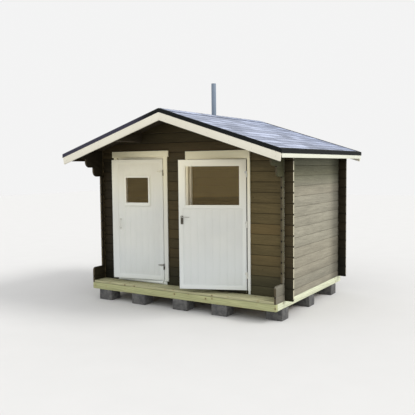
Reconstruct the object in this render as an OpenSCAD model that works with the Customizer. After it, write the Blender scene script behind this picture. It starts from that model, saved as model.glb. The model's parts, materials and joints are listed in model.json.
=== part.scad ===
// Garden tool shed: a small log house on concrete blocks with two doors under a deep gabled roof.
// +X to the right, +Y towards the back, +Z up; the origin is on the ground under the roof's middle.

/* [House body] */
// Outside width over the side walls
house_w = 2985; // [2500:5:3700]
// Outside depth over the front and rear walls
house_d = 1980; // [1600:1:2500]
// Height of the side walls at their outer face
wall_h = 1932; // [1900:1:2400]
// Thickness of a wall log
log_t = 28; // [24:1:45]
// Height of one log course
log_pitch = 133.8; // [110:0.1:165]
// Height of the front wall's first joint above the base timbers, beyond what whole courses give
first_rise = 19.5; // [0:0.5:25]
// How far the front and rear walls' logs run past the left wall
left_end = 42; // [30:1:150]
// How far the front and rear walls' logs run past the right wall
right_end = 118; // [30:1:150]
// How far the side walls' logs run past the front and rear walls
side_end = 56; // [30:1:120]
// Depth of the V joint between two courses
joint_v = 7; // [2:0.5:8]

/* [Base] */
// Height of the concrete blocks
block_h = 148; // [100:1:250]
// Length of a concrete block along the beam
block_w = 235; // [190:5:400]
// Width of a concrete block across the beam
block_d = 195; // [150:5:250]
// Height of the treated base timbers
sill_h = 92; // [80:1:150]
// Thickness of the treated base timbers
sill_t = 48; // [45:1:75]
// How far the side base timbers run past the rear wall
sill_tail = 82; // [0:1:120]
// How far the deck reaches in front of the front wall
deck_out = 247; // [200:1:500]
// Thickness of the deck and floor boards
deck_t = 30; // [20:1:32]
// Width of the gap between deck boards
deck_gap = 8; // [4:1:12]
// Number of deck boards
deck_count = 3; // [2:1:5]

/* [Roof] */
// Slope of the roof in degrees
roof_pitch = 17.9; // [14:0.1:24]
// Reach of the roof in front of the front wall
front_over = 573; // [500:1:800]
// Reach of the roof behind the rear wall
rear_over = 354; // [200:1:450]
// Reach of the roof beyond a side wall
eave_over = 227; // [180:1:350]
// Thickness of the roof boards
board_t = 18; // [16:1:25]
// Thickness of the shingle layer
shingle_t = 8; // [5:0.5:12]
// Depth of the bargeboards, square to the slope
barge_w = 135; // [110:1:160]
// Thickness of the bargeboards and fascias
barge_t = 22; // [18:1:28]
// Lean of the bargeboards' lower end cut in degrees
barge_lean = 9; // [0:1:15]
// Height of the eave fascias
fascia_w = 92; // [80:1:145]
// Height of the flashing's hanging leg
flash_h = 47; // [30:1:60]
// Width of the flashing's top leg
flash_w = 40; // [30:1:80]
// Thickness of the folded flashing
flash_t = 3; // [2:0.5:4]
// Width of one half of the ridge cap
cap_w = 120; // [90:5:160]
// Thickness of the ridge cap
cap_t = 4; // [2:0.5:8]
// Width of the ridge beam and purlins
purlin_t = 45; // [36:1:70]
// Depth of the ridge beam and purlins
purlin_h = 120; // [95:1:170]

/* [Corner brackets] */
// Reach of the upper bracket log in front of the front wall
upper_reach = 364; // [300:1:600]
// Reach of the lower bracket log in front of the front wall
lower_reach = 212; // [150:1:400]
// Radius of the round lower corner of a bracket log
bracket_r = 80; // [40:1:120]
// Radius of the round upper corner of the deck's end logs
end_r = 45; // [20:1:100]

/* [Left door] */
// Distance of the left doorway from the left wall's outer face
left_x = 316; // [200:1:400]
// Width of the left doorway between its jambs
left_w = 829; // [700:1:950]
// Height of the left door leaf
left_h = 1711; // [1500:1:1800]
// Height of the left threshold above the deck
left_sill = 52; // [15:1:80]
// Gap at each side of the left leaf
left_gap = 6; // [5:0.5:12]
// Width of the left door's trim boards
left_trim = 67; // [40:1:90]
// Reach of the left lintel board past the trim boards
left_lip = 23; // [0:1:40]
// Height of the left lintel board
left_lintel_h = 86; // [70:1:120]
// Gap between the left leaf's closing gap and the lintel board
left_lintel_gap = 25; // [0:1:40]
// Reach of the left threshold in front of the front wall
left_nose = 40; // [19:1:110]
// How far the left door stands open at rest, in degrees
left_ajar = 10.2; // [6:0.1:60]
// Width and height of the left door's window
left_pane = 368; // [250:1:450]
// Distance of the left window from the leaf's hinge edge
left_pane_x = 222; // [120:1:280]
// Distance of the left window below the leaf's top edge
left_pane_drop = 251; // [150:1:400]
// Width of the left leaf's latch stile
left_stile = 99; // [70:1:120]
// Width of the left leaf's hinge stile and top rail
left_slim = 54; // [40:1:100]
// Height of the left leaf's bottom rail
left_rail = 64; // [50:1:140]
// Number of upright boards in the left leaf
left_boards = 7; // [4:1:10]
// Width of the beads beside, over and under the left window
left_bead_w = [20, 24, 40];
// Distance of the pull handle from the leaf's hinge edge
pull_x = 677; // [600:1:800]
// Height of the pull handle's middle above the leaf's foot
pull_z = 794; // [600:1:1100]
// Length of the pull handle's bar
pull_l = 156; // [120:1:250]
// Distance of each post from the end of the pull handle's bar
pull_tip = 14; // [8:1:30]
// Radius of the pull handle's bar and posts
pull_r = 6; // [5:0.5:9]
// Reach of the pull handle in front of the leaf
pull_out = 38; // [34:1:60]

/* [Right door] */
// Distance of the right doorway from the left wall's outer face
right_x = 1563; // [1400:1:1700]
// Width of the right doorway between its jambs
right_w = 910; // [800:1:1000]
// Height of the right door leaf
right_h = 1697; // [1500:1:1800]
// Height of the right threshold above the deck
right_sill = 47; // [15:1:80]
// Gap at each side of the right leaf
right_gap = 9.5; // [5:0.5:12]
// Width of the right door's trim boards
right_trim = 39; // [30:1:90]
// Reach of the right lintel board past the trim boards
right_lip = 0; // [0:1:40]
// Height of the right lintel board
right_lintel_h = 106; // [70:1:120]
// Gap between the right leaf's closing gap and the lintel board
right_lintel_gap = 5; // [0:1:40]
// Reach of the right threshold in front of the front wall
right_nose = 20; // [19:1:110]
// How far the right door stands open at rest, in degrees
right_ajar = 21.9; // [6:0.1:60]
// Height of the right door's window
right_pane_h = 529; // [300:1:600]
// Distance of the right window below the leaf's top edge
right_pane_drop = 74; // [60:1:200]
// Width of the stiles beside the right window
right_side = 80; // [70:1:150]
// Width of the stiles and the bottom rail round the right leaf's boards
right_rim = 53; // [40:1:100]
// Height of the rail between the right window and the boards
right_mid = 32; // [25:1:120]
// Number of upright boards in the right leaf
right_boards = 8; // [4:1:12]
// Width of the beads round the right window
right_bead_w = 12; // [8:1:30]
// Distance of the lever handle from the leaf's latch edge
lever_x = 42; // [40:1:60]
// Height of the lever handle above the leaf's foot
lever_z = 952; // [800:1:1100]
// Length of the lever
lever_l = 108; // [90:1:140]
// Radius of the lever
lever_r = 7; // [5:0.5:10]
// Radius of the lever's neck
neck_r = 8; // [6:0.5:12]
// Reach of the lever from the leaf's face
lever_out = 45; // [35:1:60]
// Width, height and thickness of the lever's backplates
backplate = [34, 112, 4];
// Height of the backplates below the lever
plate_drop = 97; // [40:1:100]

/* [Door joinery] */
// Thickness of a door leaf
leaf_t = 40; // [35:1:50]
// Thickness of the trim boards round a doorway
trim_t = 18; // [15:1:25]
// Thickness of the lintel board over a doorway
lintel_t = 26; // [20:1:35]
// Thickness of a door frame's jambs and head
jamb_t = 30; // [20:1:45]
// Depth of a door frame
jamb_d = 68; // [60:1:95]
// Width of the stop that the leaf closes on
stop_w = 15; // [8:1:20]
// Gap above and below a leaf, and behind it when closed
leaf_gap = 7; // [5:0.5:10]
// Packing space between a door frame and the logs round it
frame_gap = 2; // [0.5:0.5:4]
// Thickness of the upright boards in a leaf
panel_t = 30; // [15:1:34]
// Depth of the boards' face behind the leaf's face
panel_set = 4; // [0:1:8]
// Depth of the V joint between two boards of a leaf
panel_v = 3; // [1:0.5:5]
// Height of the trim boards' foot above the deck
trim_foot = 50; // [0:1:60]
// Height of the stop at the back of a threshold
threshold_stop = 12; // [6:1:20]
// Height of a threshold's nose as a share of its own height
threshold_nose = 0.8; // [0.55:0.05:0.9]
// Height of the nose's underside as a share of the threshold's height
threshold_under = 0.4; // [0.1:0.05:0.5]
// How far a threshold's nose ends inside the doorway's sides
nose_in = 20; // [1:1:60]
// Thickness of the window glass
glass_t = 4; // [3:1:6]
// Radius of the hinge knuckles
knuckle_r = 8; // [6:0.5:10]
// Height of a hinge
hinge_h = 82; // [60:1:110]
// Radius of a hinge pin
pin_r = 4; // [3:0.5:5]
// Thickness of a hinge's plates
hinge_t = 3; // [2:0.5:5]
// Width of the left hinges' plates on the leaf
left_plate_w = 50; // [20:1:150]
// Width of the right hinges' plates on the leaf
right_plate_w = 25; // [20:1:150]
// Width of the hinge plates on the trim boards
pin_plate_w = 12; // [10:1:60]
// Height of the lowest hinge above the leaf's foot
hinge_low = 156; // [100:1:300]
// Height of the right door's middle hinge above the leaf's foot
hinge_mid = 817; // [600:1:1000]
// Distance of the highest hinge's foot below the leaf's top edge
hinge_high = 231; // [200:1:400]

/* [Vent pipe] */
// Distance of the vent pipe from the left wall's outer face
vent_x = 1010; // [800:5:1150]
// Distance of the vent pipe behind the front wall
vent_y = 1586; // [1200:1:1700]
// Height of the vent pipe's top above the ground
vent_top = 3270; // [2900:10:3600]
// Outside radius of the vent pipe
vent_r = 38; // [30:1:60]
// Wall thickness of the vent pipe
vent_wall = 3; // [2:0.5:5]
// Reach of the vent pipe below the roof boards
vent_drop = 150; // [50:5:400]
// Reach of the boot's skirt from the pipe's axis
boot_reach = 138; // [80:1:200]
// Thickness of the boot's skirt
boot_t = 2; // [1:0.5:4]
// Height of the boot's collar
collar_h = 90; // [40:1:150]
// Thickness of the boot's collar
collar_t = 4.5; // [2:0.5:8]

/* [Hidden] */

$fn = 48;
seat = 0.5; // clearance where two pieces are let into each other
lay = 0.1; // clearance between two pieces that lie on each other on the slope
pin_play = 0.05; // clearance between a hinge pin and its sleeve
cut = 1; // how far a cutting body runs past a face
far = 6000; // reach of a cutting body that has no end

half_w = house_w / 2;
front_y = -(front_over + house_d + rear_over) / 2 + front_over;
rear_y = front_y + house_d;
verge_front = front_y - front_over;
verge_rear = rear_y + rear_over;
wall_z = block_h + sill_h;
course_z = wall_z + first_rise;
floor_z = wall_z + deck_t;
ridge_z = wall_z + wall_h + half_w * tan(roof_pitch);
eave_x = half_w + eave_over;
roof_top = board_t + shingle_t;
deck_y = front_y - deck_out;
inner_x = half_w - log_t;

timber_color = [0.62, 0.66, 0.45];
log_color = [0.27, 0.22, 0.18];
paint_color = [0.93, 0.92, 0.88];
metal_color = [0.14, 0.14, 0.15];

// Height of the roof boards' underside over a place at distance x from the ridge.
function under_roof(x) = ridge_z - abs(x) * tan(roof_pitch);

// Height of a plane that lies n above the underside, measured square to the slope.
function on_slope(x, n) = under_roof(x) + n / cos(roof_pitch);

// ---- log walls ----

// Heights of the V joints between z0 and z1, for courses that start at the given height.
function joints(z0, z1, start) =
    [for (z = [start : log_pitch : z1]) if (z > z0 + joint_v && z < z1 - joint_v) z];

// Upright section through a log wall: thickness along x, height along y, a V at each joint.
module log_section(z0, z1, start) {
    marks = joints(z0, z1, start);
    count = len(marks);
    outer = [for (z = marks) each [[0, z - joint_v], [joint_v, z], [0, z + joint_v]]];
    inner = [for (i = [1 : count]) let (z = marks[count - i])
        each [[log_t, z + joint_v], [log_t - joint_v, z], [log_t, z - joint_v]]];
    polygon(concat([[0, z0]], outer, [[0, z1], [log_t, z1]], inner, [[log_t, z0]]));
}

// Log wall along X from x0 to x1, its outer face at y.
module cross_logs(x0, x1, z0, z1, y) {
    translate([x0, y, 0])
        rotate([90, 0, 90])
            linear_extrude(x1 - x0) log_section(z0, z1, course_z);
}

// Log wall along Y from y0 to y1, its outer face at the left side of the house.
module side_logs(y0, y1, z0, z1) {
    translate([-half_w, y1, 0])
        rotate([90, 0, 0])
            linear_extrude(y1 - y0) log_section(z0, z1, course_z + log_pitch / 2);
}

// The space below the roof boards.
module below_roof() {
    translate([0, far / 2, 0])
        rotate([90, 0, 0])
            linear_extrude(far)
                polygon([
                    [-far, -far], [-far, on_slope(far, -lay)], [0, on_slope(0, -lay)],
                    [far, on_slope(far, -lay)], [far, -far]
                ]);
}

// Notches that let the cross logs of a wall at y pass between the side logs at both corners.
module cross_notches(y) {
    for (side = [-1, 1])
        for (z = [course_z : log_pitch : ridge_z])
            translate([side * (half_w - log_t / 2), y + log_t / 2, z])
                cube([log_t + seat, log_t + seat + cut, log_pitch / 2 + seat], center = true);
}

// The mirrored notches, which let the left wall's logs pass between the cross logs at y.
module side_notches(y) {
    for (z = [course_z + log_pitch / 2 : log_pitch : ridge_z])
        translate([-half_w + log_t / 2, y + log_t / 2, z])
            cube([log_t + seat + cut, log_t + seat, log_pitch / 2 + seat], center = true);
}

// ---- roof helpers ----

// A strip of the left slope between two distances from the ridge and two heights above the boards'
// underside, running from y0 to y1.
module slope_strip(x_in, x_out, n0, n1, y0, y1) {
    translate([0, y1, 0])
        rotate([90, 0, 0])
            linear_extrude(y1 - y0)
                polygon([
                    [-x_in, on_slope(x_in, n0)], [-x_out, on_slope(x_out, n0)],
                    [-x_out, on_slope(x_out, n1)], [-x_in, on_slope(x_in, n1)]
                ]);
}

// What its children are on the left, repeated on the right.
module both_sides() {
    children();
    mirror([1, 0, 0]) children();
}

// ---- base ----

// Uneven places of the front blocks: share of the house width, and how far back each stands.
front_blocks = [[0.08, 0], [0.283, 0], [0.52, 0], [0.727, 0], [0.965, 150]];
back_shares = [0.04, 0.5, 0.965];
middle_row = front_y + 0.44 * house_d;
rear_row = rear_y - 0.13 * house_d;

module block(x, y) {
    translate([x - block_w / 2, y, 0]) cube([block_w, block_d, block_h]);
}

module foundation_blocks() {
    color("silver") {
        for (place = front_blocks) block(house_w * (place[0] - 0.5), deck_y + place[1]);
        for (share = back_shares) {
            block(house_w * (share - 0.5), middle_row - block_d / 2);
            block(house_w * (share - 0.5), rear_row - block_d / 2);
        }
    }
}

module front_beam() {
    color(timber_color)
        translate([-half_w, deck_y, block_h]) cube([house_w, sill_t, sill_h]);
}

module side_sills() {
    color(timber_color)
        both_sides()
            translate([-half_w, deck_y + sill_t, block_h])
                cube([sill_t, deck_out + house_d + sill_tail - sill_t, sill_h]);
}

module rear_sill() {
    color(timber_color)
        translate([sill_t - half_w, rear_y - sill_t, block_h])
            cube([house_w - 2 * sill_t, sill_t, sill_h]);
}

// Joists under the front wall and the floor, and short ones that carry the deck.
module floor_joists() {
    color(timber_color) {
        for (y = [front_y, middle_row - sill_t / 2, rear_row - sill_t / 2])
            translate([sill_t - half_w, y, block_h]) cube([house_w - 2 * sill_t, sill_t, sill_h]);
        for (share = [0.25, 0.5, 0.75])
            translate([house_w * (share - 0.5) - sill_t / 2, deck_y + sill_t, block_h])
                cube([sill_t, deck_out - sill_t - seat, sill_h]);
    }
}

module deck_boards() {
    board_w = (deck_out - (deck_count - 1) * deck_gap) / deck_count;
    color(timber_color)
        for (i = [0 : deck_count - 1])
            translate([-inner_x + seat, deck_y + i * (board_w + deck_gap), wall_z])
                cube([2 * (inner_x - seat), board_w - (i == deck_count - 1 ? seat : 0), deck_t]);
}

module floor_boards() {
    color("burlywood")
        translate([-inner_x + seat, front_y + log_t + seat, wall_z])
            cube([2 * (inner_x - seat), house_d - 2 * (log_t + seat), deck_t]);
}

// ---- doors: heights and places that the walls share with the doors ----

function leaf_foot(sill) = floor_z + sill + leaf_gap;
left_top = leaf_foot(left_sill) + left_h;
right_top = leaf_foot(right_sill) + right_h;
left_start = left_x - half_w;
right_start = right_x - half_w;
rough = jamb_t + frame_gap;
left_head = left_top + leaf_gap + rough;
right_head = right_top + leaf_gap + rough;
split_z = min(left_head, right_head);

// ---- walls ----

// The opening cut through the front wall for a door frame.
module rough_opening(x, w, head) {
    translate([x - rough, front_y - cut, wall_z - cut])
        cube([w + 2 * rough, log_t + 2 * cut, head - wall_z + cut]);
}

module front_wall_piece(x0, x1, z0, z1) {
    color(log_color)
        difference() {
            intersection() {
                cross_logs(x0, x1, z0, z1, front_y);
                below_roof();
            }
            cross_notches(front_y);
            rough_opening(left_start, left_w, left_head);
            rough_opening(right_start, right_w, right_head);
            beam_sockets();
        }
}

module front_wall_left() {
    front_wall_piece(-half_w - left_end, left_start - rough, wall_z, split_z);
}

module front_wall_middle() {
    front_wall_piece(left_start + left_w + rough, right_start - rough, wall_z, split_z);
}

module front_wall_right() {
    front_wall_piece(right_start + right_w + rough, half_w + right_end, wall_z, split_z);
}

module front_gable() {
    front_wall_piece(-half_w - left_end, half_w + right_end, split_z, ridge_z);
}

module rear_wall_piece(z0, z1) {
    color(log_color)
        difference() {
            intersection() {
                cross_logs(-half_w - left_end, half_w + right_end, z0, z1, rear_y - log_t);
                below_roof();
            }
            cross_notches(rear_y - log_t);
            beam_sockets();
        }
}

top_course = floor((wall_h - first_rise) / log_pitch); // courses under the eaves
rear_split = course_z + (top_course - 1) * log_pitch;

module rear_wall() {
    rear_wall_piece(wall_z, rear_split);
}

module rear_gable() {
    rear_wall_piece(rear_split, ridge_z);
}

// What is cut from the front corner of a side log to round it: the corner is at y and z, and
// up is 1 where the log lies above the corner and -1 where it lies below.
module corner_cut(y, z, r, up) {
    low = min(0, up * r);
    difference() {
        translate([-half_w - cut, y - cut, z + low - (up > 0 ? cut : 0)])
            cube([log_t + 2 * cut, r + cut, r + cut]);
        translate([-half_w - 2 * cut, y + r, z + up * r])
            rotate([0, 90, 0]) cylinder(h = log_t + 4 * cut, r = r);
    }
}

// A side log that runs on in front of the corner as a bracket, its end rounded below.
module bracket_log(course, reach) {
    z = course_z + (course + 0.5) * log_pitch;
    difference() {
        side_logs(front_y - reach, front_y, z, z + log_pitch);
        corner_cut(front_y - reach, z, bracket_r, 1);
    }
}

// The lowest logs run out to the deck's front edge, with a round upper corner.
module deck_end_logs() {
    top = course_z + 1.5 * log_pitch;
    difference() {
        side_logs(deck_y, front_y, wall_z, top);
        corner_cut(deck_y, top, end_r, -1);
    }
}

bracket_course = top_course - 2;

module left_side_wall() {
    color(log_color)
        difference() {
            intersection() {
                union() {
                    side_logs(front_y - side_end, rear_y + side_end, wall_z, wall_z + wall_h + log_pitch);
                    deck_end_logs();
                    bracket_log(bracket_course - 1, lower_reach);
                    bracket_log(bracket_course, upper_reach);
                    bracket_log(bracket_course + 1, front_over - barge_t - seat);
                }
                below_roof();
            }
            side_notches(front_y);
            side_notches(rear_y - log_t);
        }
}

module left_wall() {
    left_side_wall();
}

module right_wall() {
    mirror([1, 0, 0]) left_side_wall();
}

// ---- roof ----

purlin_x = half_w / 2;
beam_front = verge_front + barge_t + seat;
beam_rear = verge_rear - barge_t - seat;

module ridge_bar(grow, y0, y1) {
    both_sides()
        slope_strip(0, purlin_t / 2 + grow, -purlin_h - grow, grow - lay, y0, y1);
}

module purlin_bar(grow, y0, y1) {
    slope_strip(purlin_x - purlin_t / 2 - grow, purlin_x + purlin_t / 2 + grow,
        -purlin_h - grow, grow - lay, y0, y1);
}

// The sockets in the gables that the ridge beam and the purlins pass through.
module beam_sockets() {
    ridge_bar(seat, verge_front, verge_rear);
    both_sides() purlin_bar(seat, verge_front, verge_rear);
}

module ridge_beam() {
    color(log_color) ridge_bar(0, beam_front, beam_rear);
}

module purlins() {
    color(log_color) both_sides() purlin_bar(0, beam_front, beam_rear);
}

vent_at = [vent_x - half_w, front_y + vent_y];

module vent_hole(r) {
    translate([vent_at[0], vent_at[1], 0]) cylinder(h = far, r = r);
}

module left_roof_boards() {
    slope_strip(0, eave_x - barge_t, 0, board_t, verge_front + barge_t, verge_rear - barge_t);
}

module left_shingles() {
    slope_strip(0, eave_x, board_t + lay, roof_top, verge_front, verge_rear);
}

module roof_boards_left() {
    color(log_color)
        difference() {
            left_roof_boards();
            vent_hole(vent_r + cut);
        }
}

module roof_boards_right() {
    color(log_color) mirror([1, 0, 0]) left_roof_boards();
}

module shingles_left() {
    color("slategray")
        difference() {
            left_shingles();
            vent_hole(vent_r + cut);
        }
}

module shingles_right() {
    color("slategray") mirror([1, 0, 0]) left_shingles();
}

module ridge_cap() {
    color("slategray")
        both_sides()
            slope_strip(0, cap_w, roof_top + lay, roof_top + cap_t, verge_front + flash_w,
                verge_rear - flash_w);
}

// The left bargeboard of one gable; its lower end leans inwards below.
module bargeboard(y0) {
    difference() {
        slope_strip(seat / 2, eave_x, board_t - barge_w, board_t, y0, y0 + barge_t);
        translate([-eave_x, y0 - cut, on_slope(eave_x, board_t)])
            rotate([0, -barge_lean, 0])
                translate([-far, 0, -2 * barge_w]) cube([far, barge_t + 2 * cut, 2 * barge_w]);
    }
}

module front_bargeboards() {
    color(paint_color) both_sides() bargeboard(verge_front);
}

module rear_bargeboards() {
    color(paint_color) both_sides() bargeboard(verge_rear - barge_t);
}

module eave_fascias() {
    top = on_slope(eave_x, board_t);
    color(paint_color)
        both_sides()
            intersection() {
                translate([-eave_x, verge_front + barge_t, top - fascia_w])
                    cube([barge_t, verge_rear - verge_front - 2 * barge_t, 2 * fascia_w]);
                slope_strip(0, eave_x, -far, board_t, verge_front, verge_rear);
            }
}

// A verge flashing folded over the shingles' edge; out is the y of its outer face.
module verge_flashing(out, into) {
    leg = min(out, out + into * flash_t);
    lid = min(out, out + into * flash_w);
    both_sides() {
        slope_strip(0, eave_x + flash_t, roof_top - flash_h, roof_top + flash_t, leg, leg + flash_t);
        slope_strip(0, eave_x + flash_t, roof_top + lay, roof_top + flash_t, lid, lid + flash_w);
    }
}

module front_verge_flashing() {
    color(metal_color) verge_flashing(verge_front - flash_t, 1);
}

module rear_verge_flashing() {
    color(metal_color) verge_flashing(verge_rear + flash_t, -1);
}

// Eave flashings: the top leg ends at the verge flashings, the hanging leg runs on to the corners.
module eave_flashings() {
    y0 = verge_front - flash_t + flash_w;
    y1 = verge_rear + flash_t - flash_w;
    foot = roof_top - flash_h;
    color(metal_color)
        both_sides()
            difference() {
                union() {
                    slope_strip(eave_x - flash_w, eave_x + flash_t, foot, roof_top + flash_t, y0, y1);
                    slope_strip(eave_x, eave_x + flash_t, foot, roof_top, verge_front + lay,
                        verge_rear - lay);
                }
                slope_strip(0, eave_x, -far, roof_top + lay, verge_front, verge_rear);
            }
}

module vent_pipe() {
    foot = under_roof(vent_at[0]) - vent_drop;
    color("gray")
        translate([vent_at[0], vent_at[1], foot])
            difference() {
                cylinder(h = vent_top - foot, r = vent_r);
                translate([0, 0, -cut]) cylinder(h = vent_top - foot + 2 * cut, r = vent_r - vent_wall);
            }
}

// The sheet boot round the pipe: a flat skirt on the shingles and a short collar.
module vent_boot() {
    from_ridge = abs(vent_at[0]);
    color(metal_color)
        difference() {
            union() {
                slope_strip(from_ridge - boot_reach, from_ridge + boot_reach, roof_top + lay,
                    roof_top + boot_t, vent_at[1] - boot_reach, vent_at[1] + boot_reach);
                intersection() {
                    vent_hole(vent_r + seat + collar_t);
                    slope_strip(0, eave_x, roof_top + lay, roof_top + collar_h, verge_front, verge_rear);
                }
            }
            vent_hole(vent_r + seat);
        }
}

// ---- door frames ----

leaf_y = front_y - trim_t; // outer face of a closed leaf
stop_y = leaf_y + leaf_t + leaf_gap;

// Jambs and head round a doorway, with the stop that the leaf closes on.
module door_frame(x, w, top) {
    head = top + leaf_gap;
    translate([0, front_y, 0])
        difference() {
            translate([x - jamb_t, 0, floor_z]) cube([w + 2 * jamb_t, jamb_d, head + jamb_t - floor_z]);
            translate([x, -cut, floor_z - cut])
                cube([w, stop_y - front_y + cut, head - floor_z + cut]);
            translate([x + stop_w, -cut, floor_z - cut])
                cube([w - 2 * stop_w, jamb_d + 2 * cut, head - stop_w - floor_z + cut]);
        }
}

// Trim boards beside a doorway under the lintel board.
module door_casing(x, w, top, trim, lip, lintel_gap, lintel_h) {
    foot = floor_z + trim_foot;
    lintel_z = top + leaf_gap + lintel_gap;
    translate([0, front_y, 0]) {
        for (start = [x - trim, x + w])
            translate([start, -trim_t, foot]) cube([trim, trim_t, lintel_z - foot]);
        translate([x - trim - lip, -lintel_t, lintel_z])
            cube([w + 2 * (trim + lip), lintel_t, lintel_h]);
    }
}

// Threshold with a stop behind the closed leaf and a sloping nose that stands clear of the deck.
module door_threshold(x, w, sill, nose) {
    back_y = front_y + jamb_d;
    top = floor_z + sill;
    translate([x + seat, 0, 0])
        rotate([90, 0, 90])
            linear_extrude(w - 2 * seat)
                polygon([
                    [front_y, floor_z], [front_y, top], [stop_y, top], [stop_y, top + threshold_stop],
                    [back_y, top + threshold_stop], [back_y, floor_z]
                ]);
    translate([x + nose_in, 0, 0])
        rotate([90, 0, 90])
            linear_extrude(w - 2 * nose_in)
                polygon([
                    [front_y - nose, floor_z + sill * threshold_under],
                    [front_y - nose, floor_z + sill * threshold_nose], [leaf_y, top],
                    [front_y + cut, top], [front_y + cut, floor_z + sill * threshold_under]
                ]);
}

module threshold_between_stops(x, w, sill, nose) {
    difference() {
        door_threshold(x, w, sill, nose);
        for (start = [x - cut, x + w - stop_w - seat])
            translate([start, stop_y - seat, 0]) cube([stop_w + cut + seat, far, far]);
    }
}

// ---- door leaves, drawn closed and then turned about their hinges ----

function hinge_x(x, w, gap) = x + w - gap / 2;
hinge_y = leaf_y - knuckle_r;

module swung(x, w, gap, angle) {
    translate([hinge_x(x, w, gap), hinge_y, 0])
        rotate([0, 0, angle])
            translate([-hinge_x(x, w, gap), -hinge_y, 0]) children();
}

// Leaf outline as an upright plate from u0 to u1 measured from the hinge edge.
module plate(edge, u0, u1, z0, z1, y, t) {
    translate([edge - u1, y, z0]) cube([u1 - u0, t, z1 - z0]);
}

// Vertical boards with V joints, between u0 and u1 measured from the hinge edge.
module boarding(edge, u0, u1, z0, z1, count) {
    step = (u1 - u0) / count;
    front = [for (i = [1 : count - 1])
        each [[i * step - panel_v, 0], [i * step, panel_v], [i * step + panel_v, 0]]];
    translate([edge - u1, leaf_y + panel_set, z0])
        linear_extrude(z1 - z0)
            polygon(concat([[0, 0]], front, [[u1 - u0, 0], [u1 - u0, panel_t], [0, panel_t]]));
}

// A flat frame of beads round a pane; outer holds how far it reaches beside, over and under the
// pane, and inner how far it covers the pane's edge.
module bead_ring(edge, u0, u1, z0, z1, outer, inner, y, t) {
    difference() {
        plate(edge, u0 - outer[0], u1 + outer[0], z0 - outer[2], z1 + outer[1], y, t);
        plate(edge, u0 + inner, u1 - inner, z0 + inner, z1 - inner, y - cut, t + 2 * cut);
    }
}

glass_y = leaf_y + leaf_t / 2 - glass_t / 2;

left_leaf_w = left_w - 2 * left_gap;
left_edge = left_start + left_w - left_gap;
left_foot = leaf_foot(left_sill);
left_u0 = left_pane_x;
left_u1 = left_u0 + left_pane;
left_z1 = left_top - left_pane_drop;
left_z0 = left_z1 - left_pane;
bead_cover = 6; // how far the left window's beads cover its edge
bead_out = 10; // how far they stand out in front
bead_back = 4; // how far they stand out behind
glass_play = 1; // gap round the glass

right_leaf_w = right_w - 2 * right_gap;
right_edge = right_start + right_w - right_gap;
right_foot = leaf_foot(right_sill);
right_z1 = right_top - right_pane_drop;
right_z0 = right_z1 - right_pane_h;
bead_in = 5; // depth of the right window's beads behind the leaf's faces

module left_swung() {
    swung(left_start, left_w, left_gap, left_ajar) children();
}

module right_swung() {
    swung(right_start, right_w, right_gap, right_ajar) children();
}

module left_leaf_frame() {
    color(paint_color)
        left_swung()
            difference() {
                plate(left_edge, 0, left_leaf_w, left_foot, left_top, leaf_y, leaf_t);
                plate(left_edge, left_slim, left_leaf_w - left_stile, left_foot + left_rail,
                    left_top - left_slim, leaf_y - cut, leaf_t + 2 * cut);
            }
}

module left_leaf_panel() {
    color(paint_color)
        left_swung()
            difference() {
                boarding(left_edge, left_slim, left_leaf_w - left_stile, left_foot + left_rail,
                    left_top - left_slim, left_boards);
                plate(left_edge, left_u0, left_u1, left_z0, left_z1, leaf_y - cut, leaf_t + 2 * cut);
            }
}

module left_leaf_bead() {
    panel_y = leaf_y + panel_set;
    back_y = panel_y + panel_t;
    back_w = [left_bead_w[0], left_bead_w[1], left_bead_w[1]];
    color(paint_color)
        left_swung() {
            bead_ring(left_edge, left_u0, left_u1, left_z0, left_z1, left_bead_w, bead_cover,
                leaf_y - bead_out, bead_out + panel_set);
            bead_ring(left_edge, left_u0, left_u1, left_z0, left_z1, back_w, bead_cover,
                back_y, leaf_y + leaf_t + bead_back - back_y);
        }
}

module left_leaf_glass() {
    color("lightcyan", 0.4)
        left_swung()
            plate(left_edge, left_u0 + glass_play, left_u1 - glass_play, left_z0 + glass_play,
                left_z1 - glass_play, glass_y, glass_t);
}

// A round bar on two posts, the fingers pass behind it.
module left_leaf_pull() {
    post_z = pull_l / 2 - pull_tip;
    color("silver")
        left_swung()
            translate([left_edge - pull_x, leaf_y, left_foot + pull_z]) {
                for (z = [-post_z, post_z])
                    translate([0, 0, z]) rotate([90, 0, 0]) cylinder(h = pull_out, r = pull_r);
                translate([0, -pull_out, -pull_l / 2]) cylinder(h = pull_l, r = pull_r);
            }
}

module right_leaf_frame() {
    color(paint_color)
        right_swung()
            difference() {
                plate(right_edge, 0, right_leaf_w, right_foot, right_top, leaf_y, leaf_t);
                plate(right_edge, right_side, right_leaf_w - right_side, right_z0, right_z1,
                    leaf_y - cut, leaf_t + 2 * cut);
                plate(right_edge, right_rim, right_leaf_w - right_rim, right_foot + right_rim,
                    right_z0 - right_mid, leaf_y - cut, leaf_t + 2 * cut);
            }
}

module right_leaf_panel() {
    color(paint_color)
        right_swung()
            boarding(right_edge, right_rim, right_leaf_w - right_rim, right_foot + right_rim,
                right_z0 - right_mid, right_boards);
}

module right_leaf_bead() {
    color(paint_color)
        right_swung()
            for (y = [leaf_y + bead_in, glass_y + glass_t])
                bead_ring(right_edge, right_side, right_leaf_w - right_side, right_z0, right_z1,
                    [0, 0, 0], right_bead_w, y, glass_y - leaf_y - bead_in);
}

module right_leaf_glass() {
    color("lightcyan", 0.4)
        right_swung()
            plate(right_edge, right_side + glass_play, right_leaf_w - right_side - glass_play,
                right_z0 + glass_play, right_z1 - glass_play, glass_y, glass_t);
}

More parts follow.
